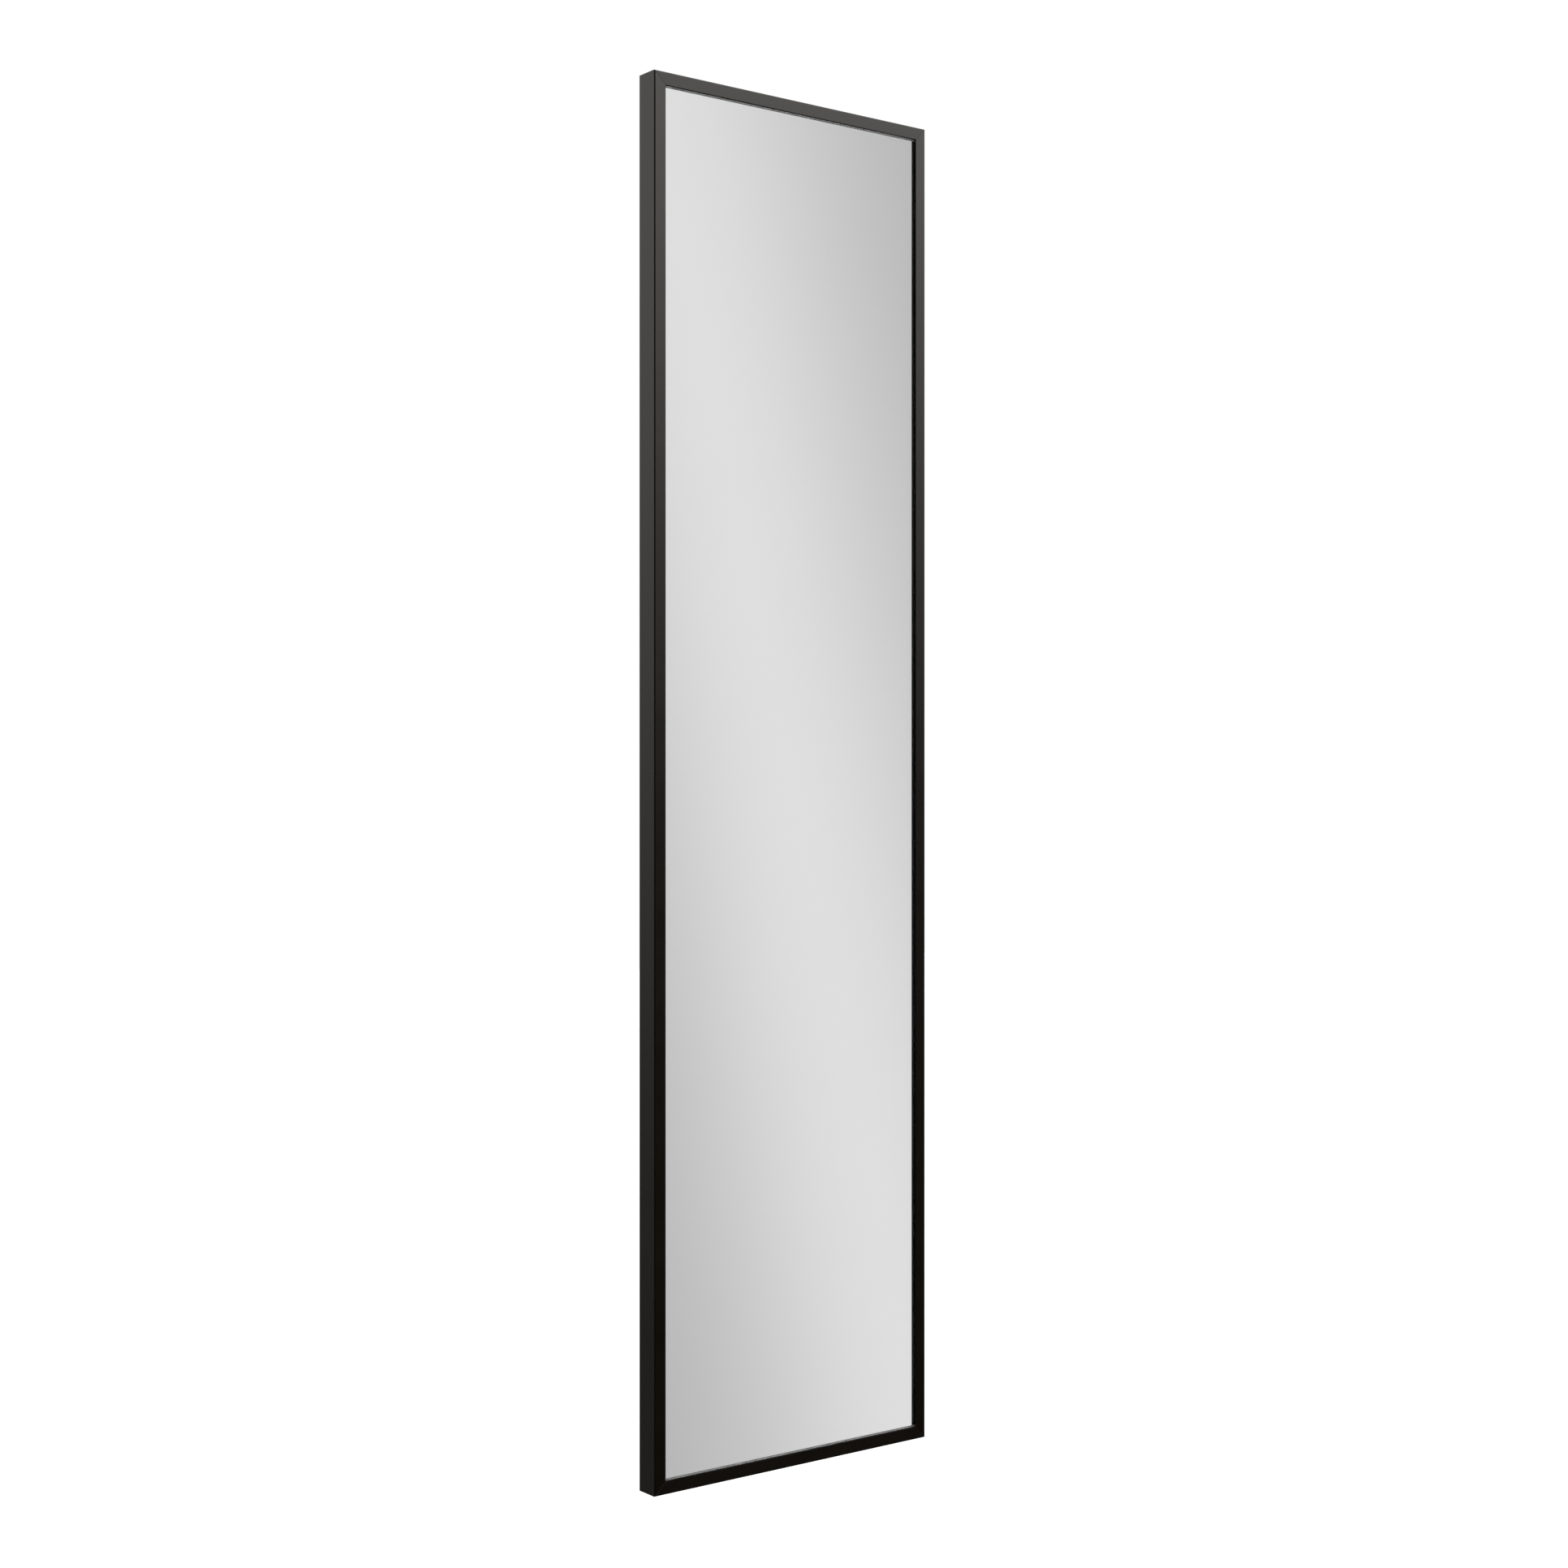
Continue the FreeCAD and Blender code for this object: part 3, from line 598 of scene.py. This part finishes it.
def makeSpreadTree():  # a grid of clusters, each a smaller grid, with a part on every point
    tree, desk, source = newTree("partsOnGrid", [
        ("Part", "NodeSocketObject"), ("Material", "NodeSocketMaterial"), ("Centre", "NodeSocketVector"),
        ("Columns", "NodeSocketInt"), ("Rows", "NodeSocketInt"),
        ("Width", "NodeSocketFloat"), ("Height", "NodeSocketFloat"),
        ("Cluster Columns", "NodeSocketInt"), ("Cluster Rows", "NodeSocketInt"),
        ("Cluster Width", "NodeSocketFloat"), ("Cluster Height", "NodeSocketFloat"),
    ])

    def grid(prefix):
        flat = desk.add("GeometryNodeMeshGrid", {}, {
            "Size X": source.pick(prefix + "Width"), "Size Y": source.pick(prefix + "Height"),
            "Vertices X": source.pick(prefix + "Columns"), "Vertices Y": source.pick(prefix + "Rows")})
        upright = (math.radians(90), 0, 0)
        return desk.add("GeometryNodeTransform", {}, {"Geometry": flat, "Rotation": upright})

    clusters = desk.add("GeometryNodeInstanceOnPoints", {}, {
        "Points": grid(""), "Instance": grid("Cluster ")})
    spots = desk.add("GeometryNodeRealizeInstances", {}, {"Geometry": clusters})
    moved = desk.add("GeometryNodeTransform", {}, {
        "Geometry": spots, "Translation": source.pick("Centre")})
    part = desk.add("GeometryNodeObjectInfo", {}, {"Object": source.pick("Part")}, out="Geometry")
    parts = desk.add("GeometryNodeInstanceOnPoints", {}, {"Points": moved, "Instance": part})
    endTree(desk, parts, source.pick("Material"))
    return tree


def makeMitreTree():  # draws a section out into a bar and cuts both ends at 45 degrees
    tree, desk, source = newTree("mitredExtrusion", [
        ("Section", "NodeSocketObject"), ("Material", "NodeSocketMaterial"),
        ("Length", "NodeSocketFloat"), ("Gap", "NodeSocketFloat"),
    ])
    length = source.pick("Length")
    gap = source.pick("Gap")
    section = desk.add("GeometryNodeObjectInfo", {}, {"Object": source.pick("Section")}, out="Geometry")
    drawn = desk.add("GeometryNodeExtrudeMesh", {"mode": "FACES"}, {
        "Mesh": section, "Offset": (1, 0, 0), "Offset Scale": length, "Individual": False})
    start = desk.add("GeometryNodeFlipFaces", {}, {"Mesh": section})
    both = desk.add("GeometryNodeJoinGeometry")
    for piece in (drawn, start):
        desk.tree.links.new(piece.socket, both.socket.node.inputs[0])
    weld = 0.001 * mm  # joins the start face to the drawn sides
    bar = desk.add("GeometryNodeMergeByDistance", {}, {"Geometry": both, "Distance": weld})
    position = desk.add("GeometryNodeInputPosition")
    along = desk.add("ShaderNodeSeparateXYZ", {}, {"Vector": position})
    inward = along.pick("Y")
    cut = inward + gap
    placed = cut + along * (length - cut * 2.0) / length
    point = desk.add("ShaderNodeCombineXYZ", {}, {"X": placed, "Y": inward, "Z": along.pick("Z")})
    mitred = desk.add("GeometryNodeSetPosition", {}, {"Geometry": bar, "Position": point})
    endTree(desk, mitred, source.pick("Material"))
    return tree


spreadTree = makeSpreadTree()
mitreTree = makeMitreTree()


# a member's section, in millimetres inwards and back from its outer front corner
frameSection = {
    "lip": 11.8, "lipThickness": 1.2, "wall": 1.6,
    "chamfer": 0.9, "lipChamfer": 0.5, "small": 0.3,
    "shelfFront": 15.9, "shelfRear": 17.3, "shelfWidth": 10.4, "upstand": 9.2,
    "hookFront": 19.5, "hookRear": 20.5, "slotStart": 3.2, "slotEnd": 7.8,
    "mitreGap": 0.025, "edge": 0.12,
}
edgeFacing = 0.3  # how far a face leans towards an edge before it takes the edge's finish
stileLow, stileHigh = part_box("frame_stile_left")
mirrorLow = Vector((cadLow.x, stileLow.y, cadLow.z))
mirrorHigh = Vector((cadHigh.x, stileHigh.y, cadHigh.z))


def sectionPoints():
    s = {key: value * mm for key, value in frameSection.items()}
    deep = mirrorHigh.y - mirrorLow.y
    return [
        (s["chamfer"], 0), (s["lip"] - s["lipChamfer"], 0), (s["lip"], s["lipChamfer"]),
        (s["lip"], s["lipThickness"]), (s["wall"], s["lipThickness"]),
        (s["wall"], s["shelfFront"]), (s["shelfWidth"], s["shelfFront"]),
        (s["shelfWidth"], s["hookRear"]), (s["slotEnd"], s["hookRear"]), (s["slotEnd"], s["hookFront"]),
        (s["upstand"], s["hookFront"]), (s["upstand"], s["shelfRear"]), (s["wall"], s["shelfRear"]),
        (s["wall"], s["hookFront"]), (s["slotStart"], s["hookFront"]), (s["slotStart"], s["hookRear"]),
        (s["wall"], s["hookRear"]), (s["wall"], deep), (s["small"], deep), (0, deep - s["small"]),
        (0, s["chamfer"]),
    ]


def buildSection(sheet):  # x runs along the member, y inwards, z back from the front
    corners = [sheet.verts.new((0, u, v)) for u, v in sectionPoints()]
    face = sheet.faces.new(corners)
    face.normal_update()
    if face.normal.x < 0:
        face.normal_flip()


# mattes the lip's edge, and the outer chamfer where outer is true, and burnishes the lip's wall where level is
def edgeFaces(mesh, outer, level):
    edgeIndex = len(mesh.materials)
    mesh.materials.append(frameEdge)
    mesh.materials.append(lipGloss)
    lip, chamfer, thickness = (frameSection[key] * mm for key in ("lip", "chamfer", "lipThickness"))
    for polygon in mesh.polygons:
        n = polygon.normal
        c = polygon.center
        outerEdge = outer and c.y < chamfer and c.z < chamfer and min(-n.y, -n.z) > edgeFacing
        lipEdge = c.y > lip - chamfer and c.z < thickness and n.y > edgeFacing
        if outerEdge or lipEdge:
            burnished = level and lipEdge and n.z > -edgeFacing
            polygon.material_index = edgeIndex + int(burnished)


def makeFrameMember(name, corner, along, inward, section):
    length = abs((mirrorHigh - mirrorLow).dot(along))
    finish = uprightBlack if along.z else levelBlack
    obj = runTree(name + "_extrusion", mitreTree, {
        "Section": section, "Material": finish, "Length": length, "Gap": frameSection["mitreGap"] * mm})
    softenEdges(obj, frameSection["edge"] * mm)
    edgeFaces(obj.data, inward.z >= 0, bool(along.x))
    back = Vector((0, 1, 0))
    place = Matrix.Translation(corner) @ Matrix((along, inward, back)).transposed().to_4x4()
    obj.data.transform(place)
    return finishPiece(obj, "mirror", "frame_black", name)


def makeFrame():
    section = meshObject("sectionTemplate", buildSection)
    left, right, low, high = mirrorLow.x, mirrorHigh.x, mirrorLow.z, mirrorHigh.z
    front = mirrorLow.y
    across = Vector((1, 0, 0))
    up = Vector((0, 0, 1))
    makeFrameMember("frame_stile_left", Vector((left, front, low)), up, across, section)
    makeFrameMember("frame_stile_right", Vector((right, front, high)), -up, -across, section)
    makeFrameMember("frame_rail_top", Vector((left, front, high)), across, -up, section)
    makeFrameMember("frame_rail_bottom", Vector((right, front, low)), -across, up, section)
    bpy.data.objects.remove(section)


makeFrame()
print("frame members made")


glassPlan = {"gap": 0.02, "groundEdge": 0.35, "boardEdge": 0.5, "rearFacing": 0.99}


def makeGlass():  # one pane with a silvered rear face, and the board behind it
    low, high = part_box("mirror_glass")
    gap = Vector((0, glassPlan["gap"] * mm, 0))
    pane = slab("mirror_glass_silvered", low + gap, high - gap, clearGlass, glassPlan["groundEdge"] * mm)
    pane.data.materials.append(silver)
    for polygon in pane.data.polygons:
        if polygon.normal.y > glassPlan["rearFacing"]:
            polygon.material_index = 1
    finishPiece(pane, "mirror", "mirror_silver", "mirror_glass")
    low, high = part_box("backing_board")
    board = slab("backing_board_panel", low, high, hardboard, glassPlan["boardEdge"] * mm)
    finishPiece(board, "mirror", "backing_brown", "backing_board")


makeGlass()
print("glass and backing made")


def centreOf(node):
    low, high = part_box(node)
    return (low + high) / 2, high - low


def spread(name, part, material, centre, grid, size, cluster=(1, 1), clusterSize=(0.0, 0.0)):
    return runTree(name, spreadTree, {
        "Part": part, "Material": material, "Centre": centre,
        "Columns": grid[0], "Rows": grid[1], "Width": size[0], "Height": size[1],
        "Cluster Columns": cluster[0], "Cluster Rows": cluster[1],
        "Cluster Width": clusterSize[0], "Cluster Height": clusterSize[1]})


# fills a node's box with a part of half width reach, in pairs one above the other where pair gives their step
def spreadOverBox(name, node, part, material, reach, seat, grid, pair=0.0):
    middle, size = centreOf(node)
    spacing = (max(size.x - 2 * reach, 0), max(size.z - 2 * reach - pair, 0))
    return spread(name, part, material, (middle.x, seat, middle.z), grid, spacing,
                  (1, 2) if pair else (1, 1), (0.0, pair))


# parts of a screw's shank, pitch or flats, and the small steps in millimetres
boltShape = {
    "tip": 0.8, "tipRise": 0.2, "threadStart": 0.25, "root": 0.35, "crest": 0.85,
    "socketCorner": 1.2, "socketPoint": 0.5, "lead": 0.08, "leadDepth": 0.12,
}


def boltRings(plan):  # tip down the axis, head rising above zero
    shape = boltShape
    shank, length, pitch = plan["shank"], plan["length"], plan["pitch"]
    rings = [(-length, 0), (-length, shape["tip"] * shank), (-length + shape["tipRise"] * shank, shank)]
    for i in range(int(plan["threaded"] / pitch)):
        z = -length + shape["threadStart"] * shank + i * pitch
        rings += [(z + shape["root"] * pitch, shank - plan["thread"]), (z + shape["crest"] * pitch, shank)]
    rings.append((plan["head"][0][0], shank))
    rings += plan["head"]
    top = plan["head"][-1][0]
    flat = plan["flats"] / 2
    corner = shape["socketCorner"] * flat
    floor = top - plan["socket"]
    rings += [(top, corner, flat + shape["lead"]), (top - shape["leadDepth"], corner, flat),
              (floor, corner, flat), (floor - shape["socketPoint"] * flat, 0)]
    return ringSet(rings)


buttonScrew = {
    "shank": 2.0, "pitch": 0.7, "thread": 0.22, "neck": 1.2, "flats": 2.5, "socket": 1.3,
    "head": [(0, 3.55), (0.12, 3.75), (0.5, 3.8), (0.95, 3.72),
             (1.45, 3.35), (1.85, 2.85), (2.1, 2.3), (2.2, 1.9)],
}
buttonScrewRows = {
    "hinge_plate_screws": {"body": "mirror", "length": 5.4, "axis": (0, 1, 0), "grid": (2, 2), "pair": 18},
    "cross_bar_screws": {"body": "mirror", "length": 6.0, "axis": (0, 1, 0), "grid": (2, 2), "pair": 18},
    "carriage_screws": {"body": "carriage", "length": 5.9, "axis": (0, -1, 0), "grid": (3, 2), "pair": 0},
}


def makeButtonScrews(node, row):
    plan = dict(buttonScrew, length=row["length"], threaded=row["length"] - buttonScrew["neck"])
    part = turnedObject(node + "Template", boltRings(plan), None, Vector(), row["axis"])
    low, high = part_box(node)
    rise = plan["head"][-1][0] * mm
    seat = high.y - rise if row["axis"][1] > 0 else low.y + rise
    reach = max(radius for _, radius in plan["head"]) * mm
    made = spreadOverBox(node + "_button_heads", node, part, blackOxide, reach, seat, row["grid"],
                         row["pair"] * mm)
    finishPiece(made, row["body"], "screw_black", node)
    bpy.data.objects.remove(part)


def joinPieces(name, objects):
    sheet = bmesh.new()
    for obj in objects:
        sheet.from_mesh(obj.data)
    mesh = objects[0].data.copy()
    sheet.to_mesh(mesh)
    sheet.free()
    for obj in objects:
        bpy.data.objects.remove(obj)
    smoothTurned(mesh)
    return newObject(name, mesh)


setScrew = {
    "shank": 2.0, "pitch": 0.7, "thread": 0.2, "flats": 2.0, "socket": 1.8, "length": 3.9, "threaded": 3.2,
    "head": [(0.0, 2.0), (0.3, 1.75)],
    "pair": 19, "firstIn": 17,  # between the two screws of one leg, and from the mirror's end to the first
}


def makeSetScrews():
    node = "corner_key_screws"
    part = turnedObject("setScrewTemplate", boltRings(setScrew), None, Vector(), (0, 1, 0))
    low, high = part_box(node)
    seat = high.y - setScrew["head"][-1][0] * mm
    pair = setScrew["pair"] * mm
    firstIn = setScrew["firstIn"] * mm
    slotMiddle = low.x + setScrew["shank"] * mm - mirrorLow.x
    middle = (mirrorLow + mirrorHigh) / 2
    size = mirrorHigh - mirrorLow
    layouts = {
        "level": ((size.x - 2 * firstIn - pair, size.z - 2 * slotMiddle), (2, 1), (pair, 0.0)),
        "upright": ((size.x - 2 * slotMiddle, size.z - 2 * firstIn - pair), (1, 2), (0.0, pair)),
    }
    made = [spread(node + "_" + name, part, blackOxide, (middle.x, seat, middle.z), (2, 2), *layout)
            for name, layout in layouts.items()]
    joined = joinPieces(node + "_socket_ends", made)
    finishPiece(joined, "mirror", "screw_black", node)
    bpy.data.objects.remove(part)


countersunkRivet = {
    "shank": 2.0, "neck": 1.6, "face": 3.2, "edge": 3.55, "bevel": 0.1, "bevelRise": 0.06,
    "dimple": 0.9, "dimpleFloor": 0.5, "dimpleSide": 0.5, "dimpleDepth": 0.6, "reach": 3.6, "grid": (4, 2),
}


def makeRivets():
    plan = countersunkRivet
    face, edge = plan["face"], plan["edge"]
    rings = ringSet([
        (0, 0), (0, plan["shank"]), (plan["neck"], plan["shank"]), (face - plan["bevelRise"], edge),
        (face, edge - plan["bevel"]), (face, plan["dimple"]),
        (face - plan["dimpleSide"], plan["dimpleFloor"]), (face - plan["dimpleDepth"], 0)])
    part = turnedObject("rivetTemplate", rings, None, Vector(), (0, -1, 0))
    node = "slide_rivets"
    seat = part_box(node)[1].y
    made = spreadOverBox("slide_rivet_set", node, part, slideZinc, plan["reach"] * mm, seat, plan["grid"])
    finishPiece(made, "wall_side", "slide_zinc", node)
    bpy.data.objects.remove(part)


bumperDome = {
    "foot": 6.0, "height": 5.2, "side": 0.45, "dome": 0.55,  # side and dome are parts of the height
    "fullness": 0.55, "steps": 9, "grid": (1, 2),
}


def makeBumpers():
    plan = bumperDome
    foot, height, steps = plan["foot"], plan["height"], plan["steps"]
    rings = [(0, 0), (0, foot), (plan["side"] * height, foot)]
    for i in range(1, steps):
        turn = math.radians(90 * i / steps)
        rings.append((plan["side"] * height + plan["dome"] * height * math.sin(turn),
                      foot * math.cos(turn) ** plan["fullness"]))
    rings.append((height, 0))
    part = turnedObject("bumperTemplate", ringSet(rings), None, Vector(), (0, -1, 0))
    node = "rubber_bumpers"
    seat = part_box(node)[1].y
    made = spreadOverBox("rubber_bumper_domes", node, part, rubber, foot * mm, seat, plan["grid"])
    finishPiece(made, "carriage", "bumper_rubber", node)
    bpy.data.objects.remove(part)


slideBall = {"radius": 2.0, "steps": 20, "rings": 10, "grid": (8, 2)}


def makeBalls():
    plan = slideBall
    radius = plan["radius"]
    rings = [(-radius, 0)]
    for i in range(1, plan["rings"]):
        turn = math.radians(180 * i / plan["rings"])
        rings.append((-radius * math.cos(turn), radius * math.sin(turn)))
    rings.append((radius, 0))
    part = turnedObject("ballTemplate", ringSet(rings), None, Vector(), (0, 0, 1), plan["steps"])
    for level, _ in levels:
        for row in ("outer", "inner"):
            node = level + "_" + row + "_balls"
            seat = centreOf(node)[0].y
            made = spreadOverBox(node + "_polished", node, part, ballSteel, radius * mm, seat,
                                 plan["grid"])
            finishPiece(made, level + "_" + row + "_cage", "ball_steel", node)
    bpy.data.objects.remove(part)


pivotBolt = {
    "shank": 4.0, "length": 16.7, "pitch": 1.25, "thread": 0.4, "threaded": 9.5, "flats": 5.0,
    "socket": 2.4, "head": [(0, 6.75), (0.25, 7.0), (3.3, 7.0), (3.8, 6.75), (4.0, 6.3)],
}
lockNut = {
    "bore": 4.0, "flats": 13.0, "corner": 7.45, "height": 6.0,
    "face": 6.4, "rise": 0.5, "drop": 0.45, "lead": 0.4,
    "collar": 2.0, "collarSide": 5.75, "collarCrown": [(0, 4.9), (0.25, 5.4), (0.8, 5.7)],
    "mouth": 0.5, "mouthFloor": 0.1, "mouthDepth": 0.3,
}
pivotBush = {
    "bore": 4.05, "barrel": 5.0, "flange": 6.5, "length": 2.5, "flangeThickness": 1.0,
    "lead": 0.15, "bevel": 0.1, "flangeBevel": 0.25,
}
discSpring = {
    "hole": 4.12, "rim": 7.6, "rise": 0.55, "sheet": 0.6, "seat": 0.15, "seatRise": 0.02, "rimSide": 0.45,
    "rimBevel": 0.08,
}


def nutRings():
    plan = lockNut
    bore, collar, corner, flat = plan["bore"], plan["collar"], plan["corner"], plan["flats"] / 2
    top = collar + plan["height"]
    return ringSet([
        (plan["mouthDepth"], bore + plan["mouthFloor"]), (0, bore + plan["mouth"]), *plan["collarCrown"],
        (collar, plan["collarSide"]), (collar, plan["face"], flat), (collar + plan["rise"], corner, flat),
        (top - plan["drop"], corner, flat), (top, plan["face"], flat), (top, bore + plan["lead"]),
        (top - plan["lead"], bore), (collar, bore)])


def bushRings():
    plan = pivotBush
    bore, barrel, flange, length = plan["bore"], plan["barrel"], plan["flange"], plan["length"]
    lead, bevel, flangeBevel = plan["lead"], plan["bevel"], plan["flangeBevel"]
    full = length + plan["flangeThickness"]
    return ringSet([
        (0, bore + lead), (0, barrel - bevel), (bevel, barrel), (length, barrel), (length, flange - bevel),
        (length + bevel, flange), (full - flangeBevel, flange), (full, flange - flangeBevel),
        (full, bore + lead), (full - lead, bore), (lead, bore)])


def springRings():
    plan = discSpring
    hole, rim, rise, sheet = plan["hole"], plan["rim"], plan["rise"], plan["sheet"]
    return ringSet([
        (0, hole), (plan["seatRise"], hole + plan["seat"]), (rise, rim),
        (rise + plan["rimSide"] * sheet, rim), (rise + sheet, rim - plan["rimBevel"]), (sheet, hole)])


def makePivot(level, side):
    middle = centreOf(level + "_pivot_bolt")[0]
    for kind, detail, rings, finish, body, slot in (
            ("_pivot_bolt", "_threaded", boltRings(pivotBolt), blackOxide, "mirror", "screw_black"),
            ("_lock_nut", "_hex", nutRings(), keyZinc, "mirror", "nut_zinc"),
            ("_pivot_bush", "_flanged", bushRings(), nylon, "carriage", "nylon"),
            ("_disc_spring", "_dished", springRings(), springSteel, "mirror", "spring_steel")):
        node = level + kind
        solid = kind == "_pivot_bolt"
        low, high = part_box(node)
        near, far = sorted((abs(low.z), abs(high.z)))  # from the middle's level
        seat = far - pivotBolt["head"][-1][0] * mm if solid else near
        part = turnedObject(node + detail, rings, finish, Vector((middle.x, middle.y, side * seat)),
                            (0, 0, side), turnSteps["pivot"], closed=not solid)
        finishPiece(part, body, slot, node)


for node, row in buttonScrewRows.items():
    makeButtonScrews(node, row)
makeSetScrews()
makeRivets()
makeBumpers()
makeBalls()
for level, side in levels:
    makePivot(level, side)
print("screws, rivets, balls and pivots made")


cornerKeys = [node for node in nodes if node.startswith("corner_key_") and node != "corner_key_screws"]
catches = [level + "_hold_in_catch" for level, _ in levels]
softParts = (  # nodes, finish, finish of the worn edges, edge in millimetres, body, slot
    (["wall_plate"], powderCoat, wornCoat, 0.3, "wall_side", "bracket_black"),
    (["carriage_plate"], powderCoat, wornCoat, 0.3, "carriage", "bracket_black"),
    (["hinge_plate"], powderCoat, wornCoat, 0.3, "mirror", "bracket_black"),
    (["cross_bar_upper", "cross_bar_lower"], powderCoat, wornCoat, 0.25, "mirror", "bracket_black"),
    (cornerKeys, keyZinc, None, 0.2, "mirror", "key_zinc"),
    (["cross_bar_slot_nuts"], keyZinc, None, 0.15, "mirror", "key_zinc"),
    (["spring_clips"], springSteel, None, 0.08, "mirror", "spring_steel"),
    (["glazing_tape"], foamTape, None, 0.05, "mirror", "tape_black"),
    (catches, nylon, None, 0.3, "wall_side", "nylon"),
)
for group, finish, worn, edge, body, slot in softParts:
    for node in group:
        dressedCopy(node, finish, worn, edge, body, slot)
print("plates, keys and clips made")


carriedOver = {"safety_film": filmPlastic}  # the slides' members and cages are zinc
for name, node in nodes.items():
    if not node.hide_render:
        node.data.materials.clear()
        node.data.materials.append(carriedOver.get(name, slideZinc))


stagePlan = {"floor": -0.92, "floorSize": 16.0, "paint": 0.35, "glow": 0.68, "backdrop": 1.03}
cameraPlan = {"place": (-1.31076, -1.71012, -0.00071), "turn": -37.414, "lens": 54.069, "sensor": 36.0}
lampPlans = {
    "highRight": {"place": (0.75, -1.0, 1.35), "aim": (0, 0, 0.5), "size": (0.9, 0.6), "power": 11},
    "highLeft": {"place": (-0.85, 0.95, 1.35), "aim": (-0.15, 0, 0.5), "size": (0.9, 0.6), "power": 10},
}
# what the glass mirrors: a soft bright band across a plain grey room
mirrorBand = {"facing": (0.7765, 0.5978, 0.1982), "base": 0.30, "swing": 0.50, "width": 0.089, "far": 0.6}
# what satin and metal surfaces mirror: bright above and dim below, most of all in front
roomFront = {"low": 0.0, "high": 1.56, "from": -0.055, "to": 0.29}
roomCeiling = {"low": 1.0, "high": 0.78, "from": 0.33, "to": 0.55}
roomBack = {"low": 0.13, "high": 0.98, "from": -0.24, "to": 0.34}
roomDepth = {"low": 0.0, "high": 1.0, "from": -0.5, "to": 0.4}  # where the front turns into the back
# the floor's light for what lies behind glass, as rays through glass pass the floor by
roomFloor = {"low": 1.7, "high": 0.0, "from": -0.3, "to": -0.1}


def makeWorld():
    world = bpy.data.worlds.new("studio")
    world.use_nodes = True
    world.node_tree.nodes.clear()
    bpy.context.scene.world = world
    desk = Desk(world.node_tree)
    direction = desk.add("ShaderNodeTexCoord", out="Generated")
    parts = desk.add("ShaderNodeSeparateXYZ", {}, {"Vector": direction})
    depth, height = parts.pick("Y"), parts.pick("Z")

    def graded(value, plan, shape="SMOOTHSTEP"):
        return desk.add("ShaderNodeMapRange", {"interpolation_type": shape}, {
            "Value": value, "From Min": plan["from"], "From Max": plan["to"],
            "To Min": plan["low"], "To Max": plan["high"]})

    across = desk.add("ShaderNodeVectorMath", {"operation": "DOT_PRODUCT"},
                      {0: direction, 1: mirrorBand["facing"]}, out="Value")
    away = across * across
    ridge = mirrorBand["swing"] / (away * mirrorBand["width"] ** -2 + 1.0)
    band = ridge + away * mirrorBand["far"] + mirrorBand["base"]
    climb = graded(height, roomFront, "LINEAR")
    front = climb * climb * graded(height, roomCeiling)
    back = graded(height, roomBack)
    room = front + graded(depth, roomDepth) * (back - front)
    path = desk.add("ShaderNodeLightPath", out="Is Camera Ray")
    mirrored = path.pick("Is Singular Ray")
    scattered = desk.add("ShaderNodeMath", {"operation": "MINIMUM"},
                         {0: path.pick("Diffuse Depth"), 1: 1.0})
    level = room + mirrored * (band - room) + scattered * graded(height, roomFloor)
    strength = level + path * (stagePlan["backdrop"] - level)  # plain white behind the object
    background = desk.add("ShaderNodeBackground", {}, {"Color": grey(1.0), "Strength": strength})
    desk.add("ShaderNodeOutputWorld", {}, {"Surface": background})


def makeFloor():
    def build(sheet):
        bmesh.ops.create_grid(sheet, x_segments=1, y_segments=1, size=stagePlan["floorSize"] / 2)
        bmesh.ops.translate(sheet, vec=(0, 0, stagePlan["floor"]), verts=sheet.verts)
    material, desk = newMaterial("pale_floor")
    matt = desk.add("ShaderNodeBsdfDiffuse", {}, {"Color": grey(stagePlan["paint"])})
    seen = desk.add("ShaderNodeLightPath", out="Is Camera Ray")
    glow = desk.add("ShaderNodeEmission", {}, {"Color": grey(1.0), "Strength": seen * stagePlan["glow"]})
    lit = desk.add("ShaderNodeAddShader", {}, {0: matt, 1: glow})
    desk.add("ShaderNodeOutputMaterial", {}, {"Surface": lit})
    floor = meshObject("floor", build, material)
    floor.visible_glossy = False
    floor.visible_transmission = False


def makeLamp(name, plan):
    lamp = bpy.data.lights.new(name, "AREA")
    lamp.shape = "RECTANGLE"
    lamp.size, lamp.size_y = plan["size"]
    lamp.energy = plan["power"]
    obj = newObject(name, lamp)
    obj.visible_glossy = False  # lights the matt surfaces and casts the shadows
    obj.location = plan["place"]
    obj.rotation_mode = "QUATERNION"
    obj.rotation_quaternion = (Vector(plan["aim"]) - Vector(plan["place"])).to_track_quat("-Z", "Y")


def makeCamera():
    camera = bpy.data.cameras.new("camera")
    camera.lens = cameraPlan["lens"]
    camera.sensor_width = cameraPlan["sensor"]
    obj = newObject("camera", camera)
    obj.location = cameraPlan["place"]
    obj.rotation_euler = (math.radians(90), 0, math.radians(cameraPlan["turn"]))
    bpy.context.scene.camera = obj


makeWorld()
makeFloor()
for name, plan in lampPlans.items():
    makeLamp(name, plan)
makeCamera()
bpy.context.scene.view_settings.view_transform = "Standard"
print("stage, light and camera set")
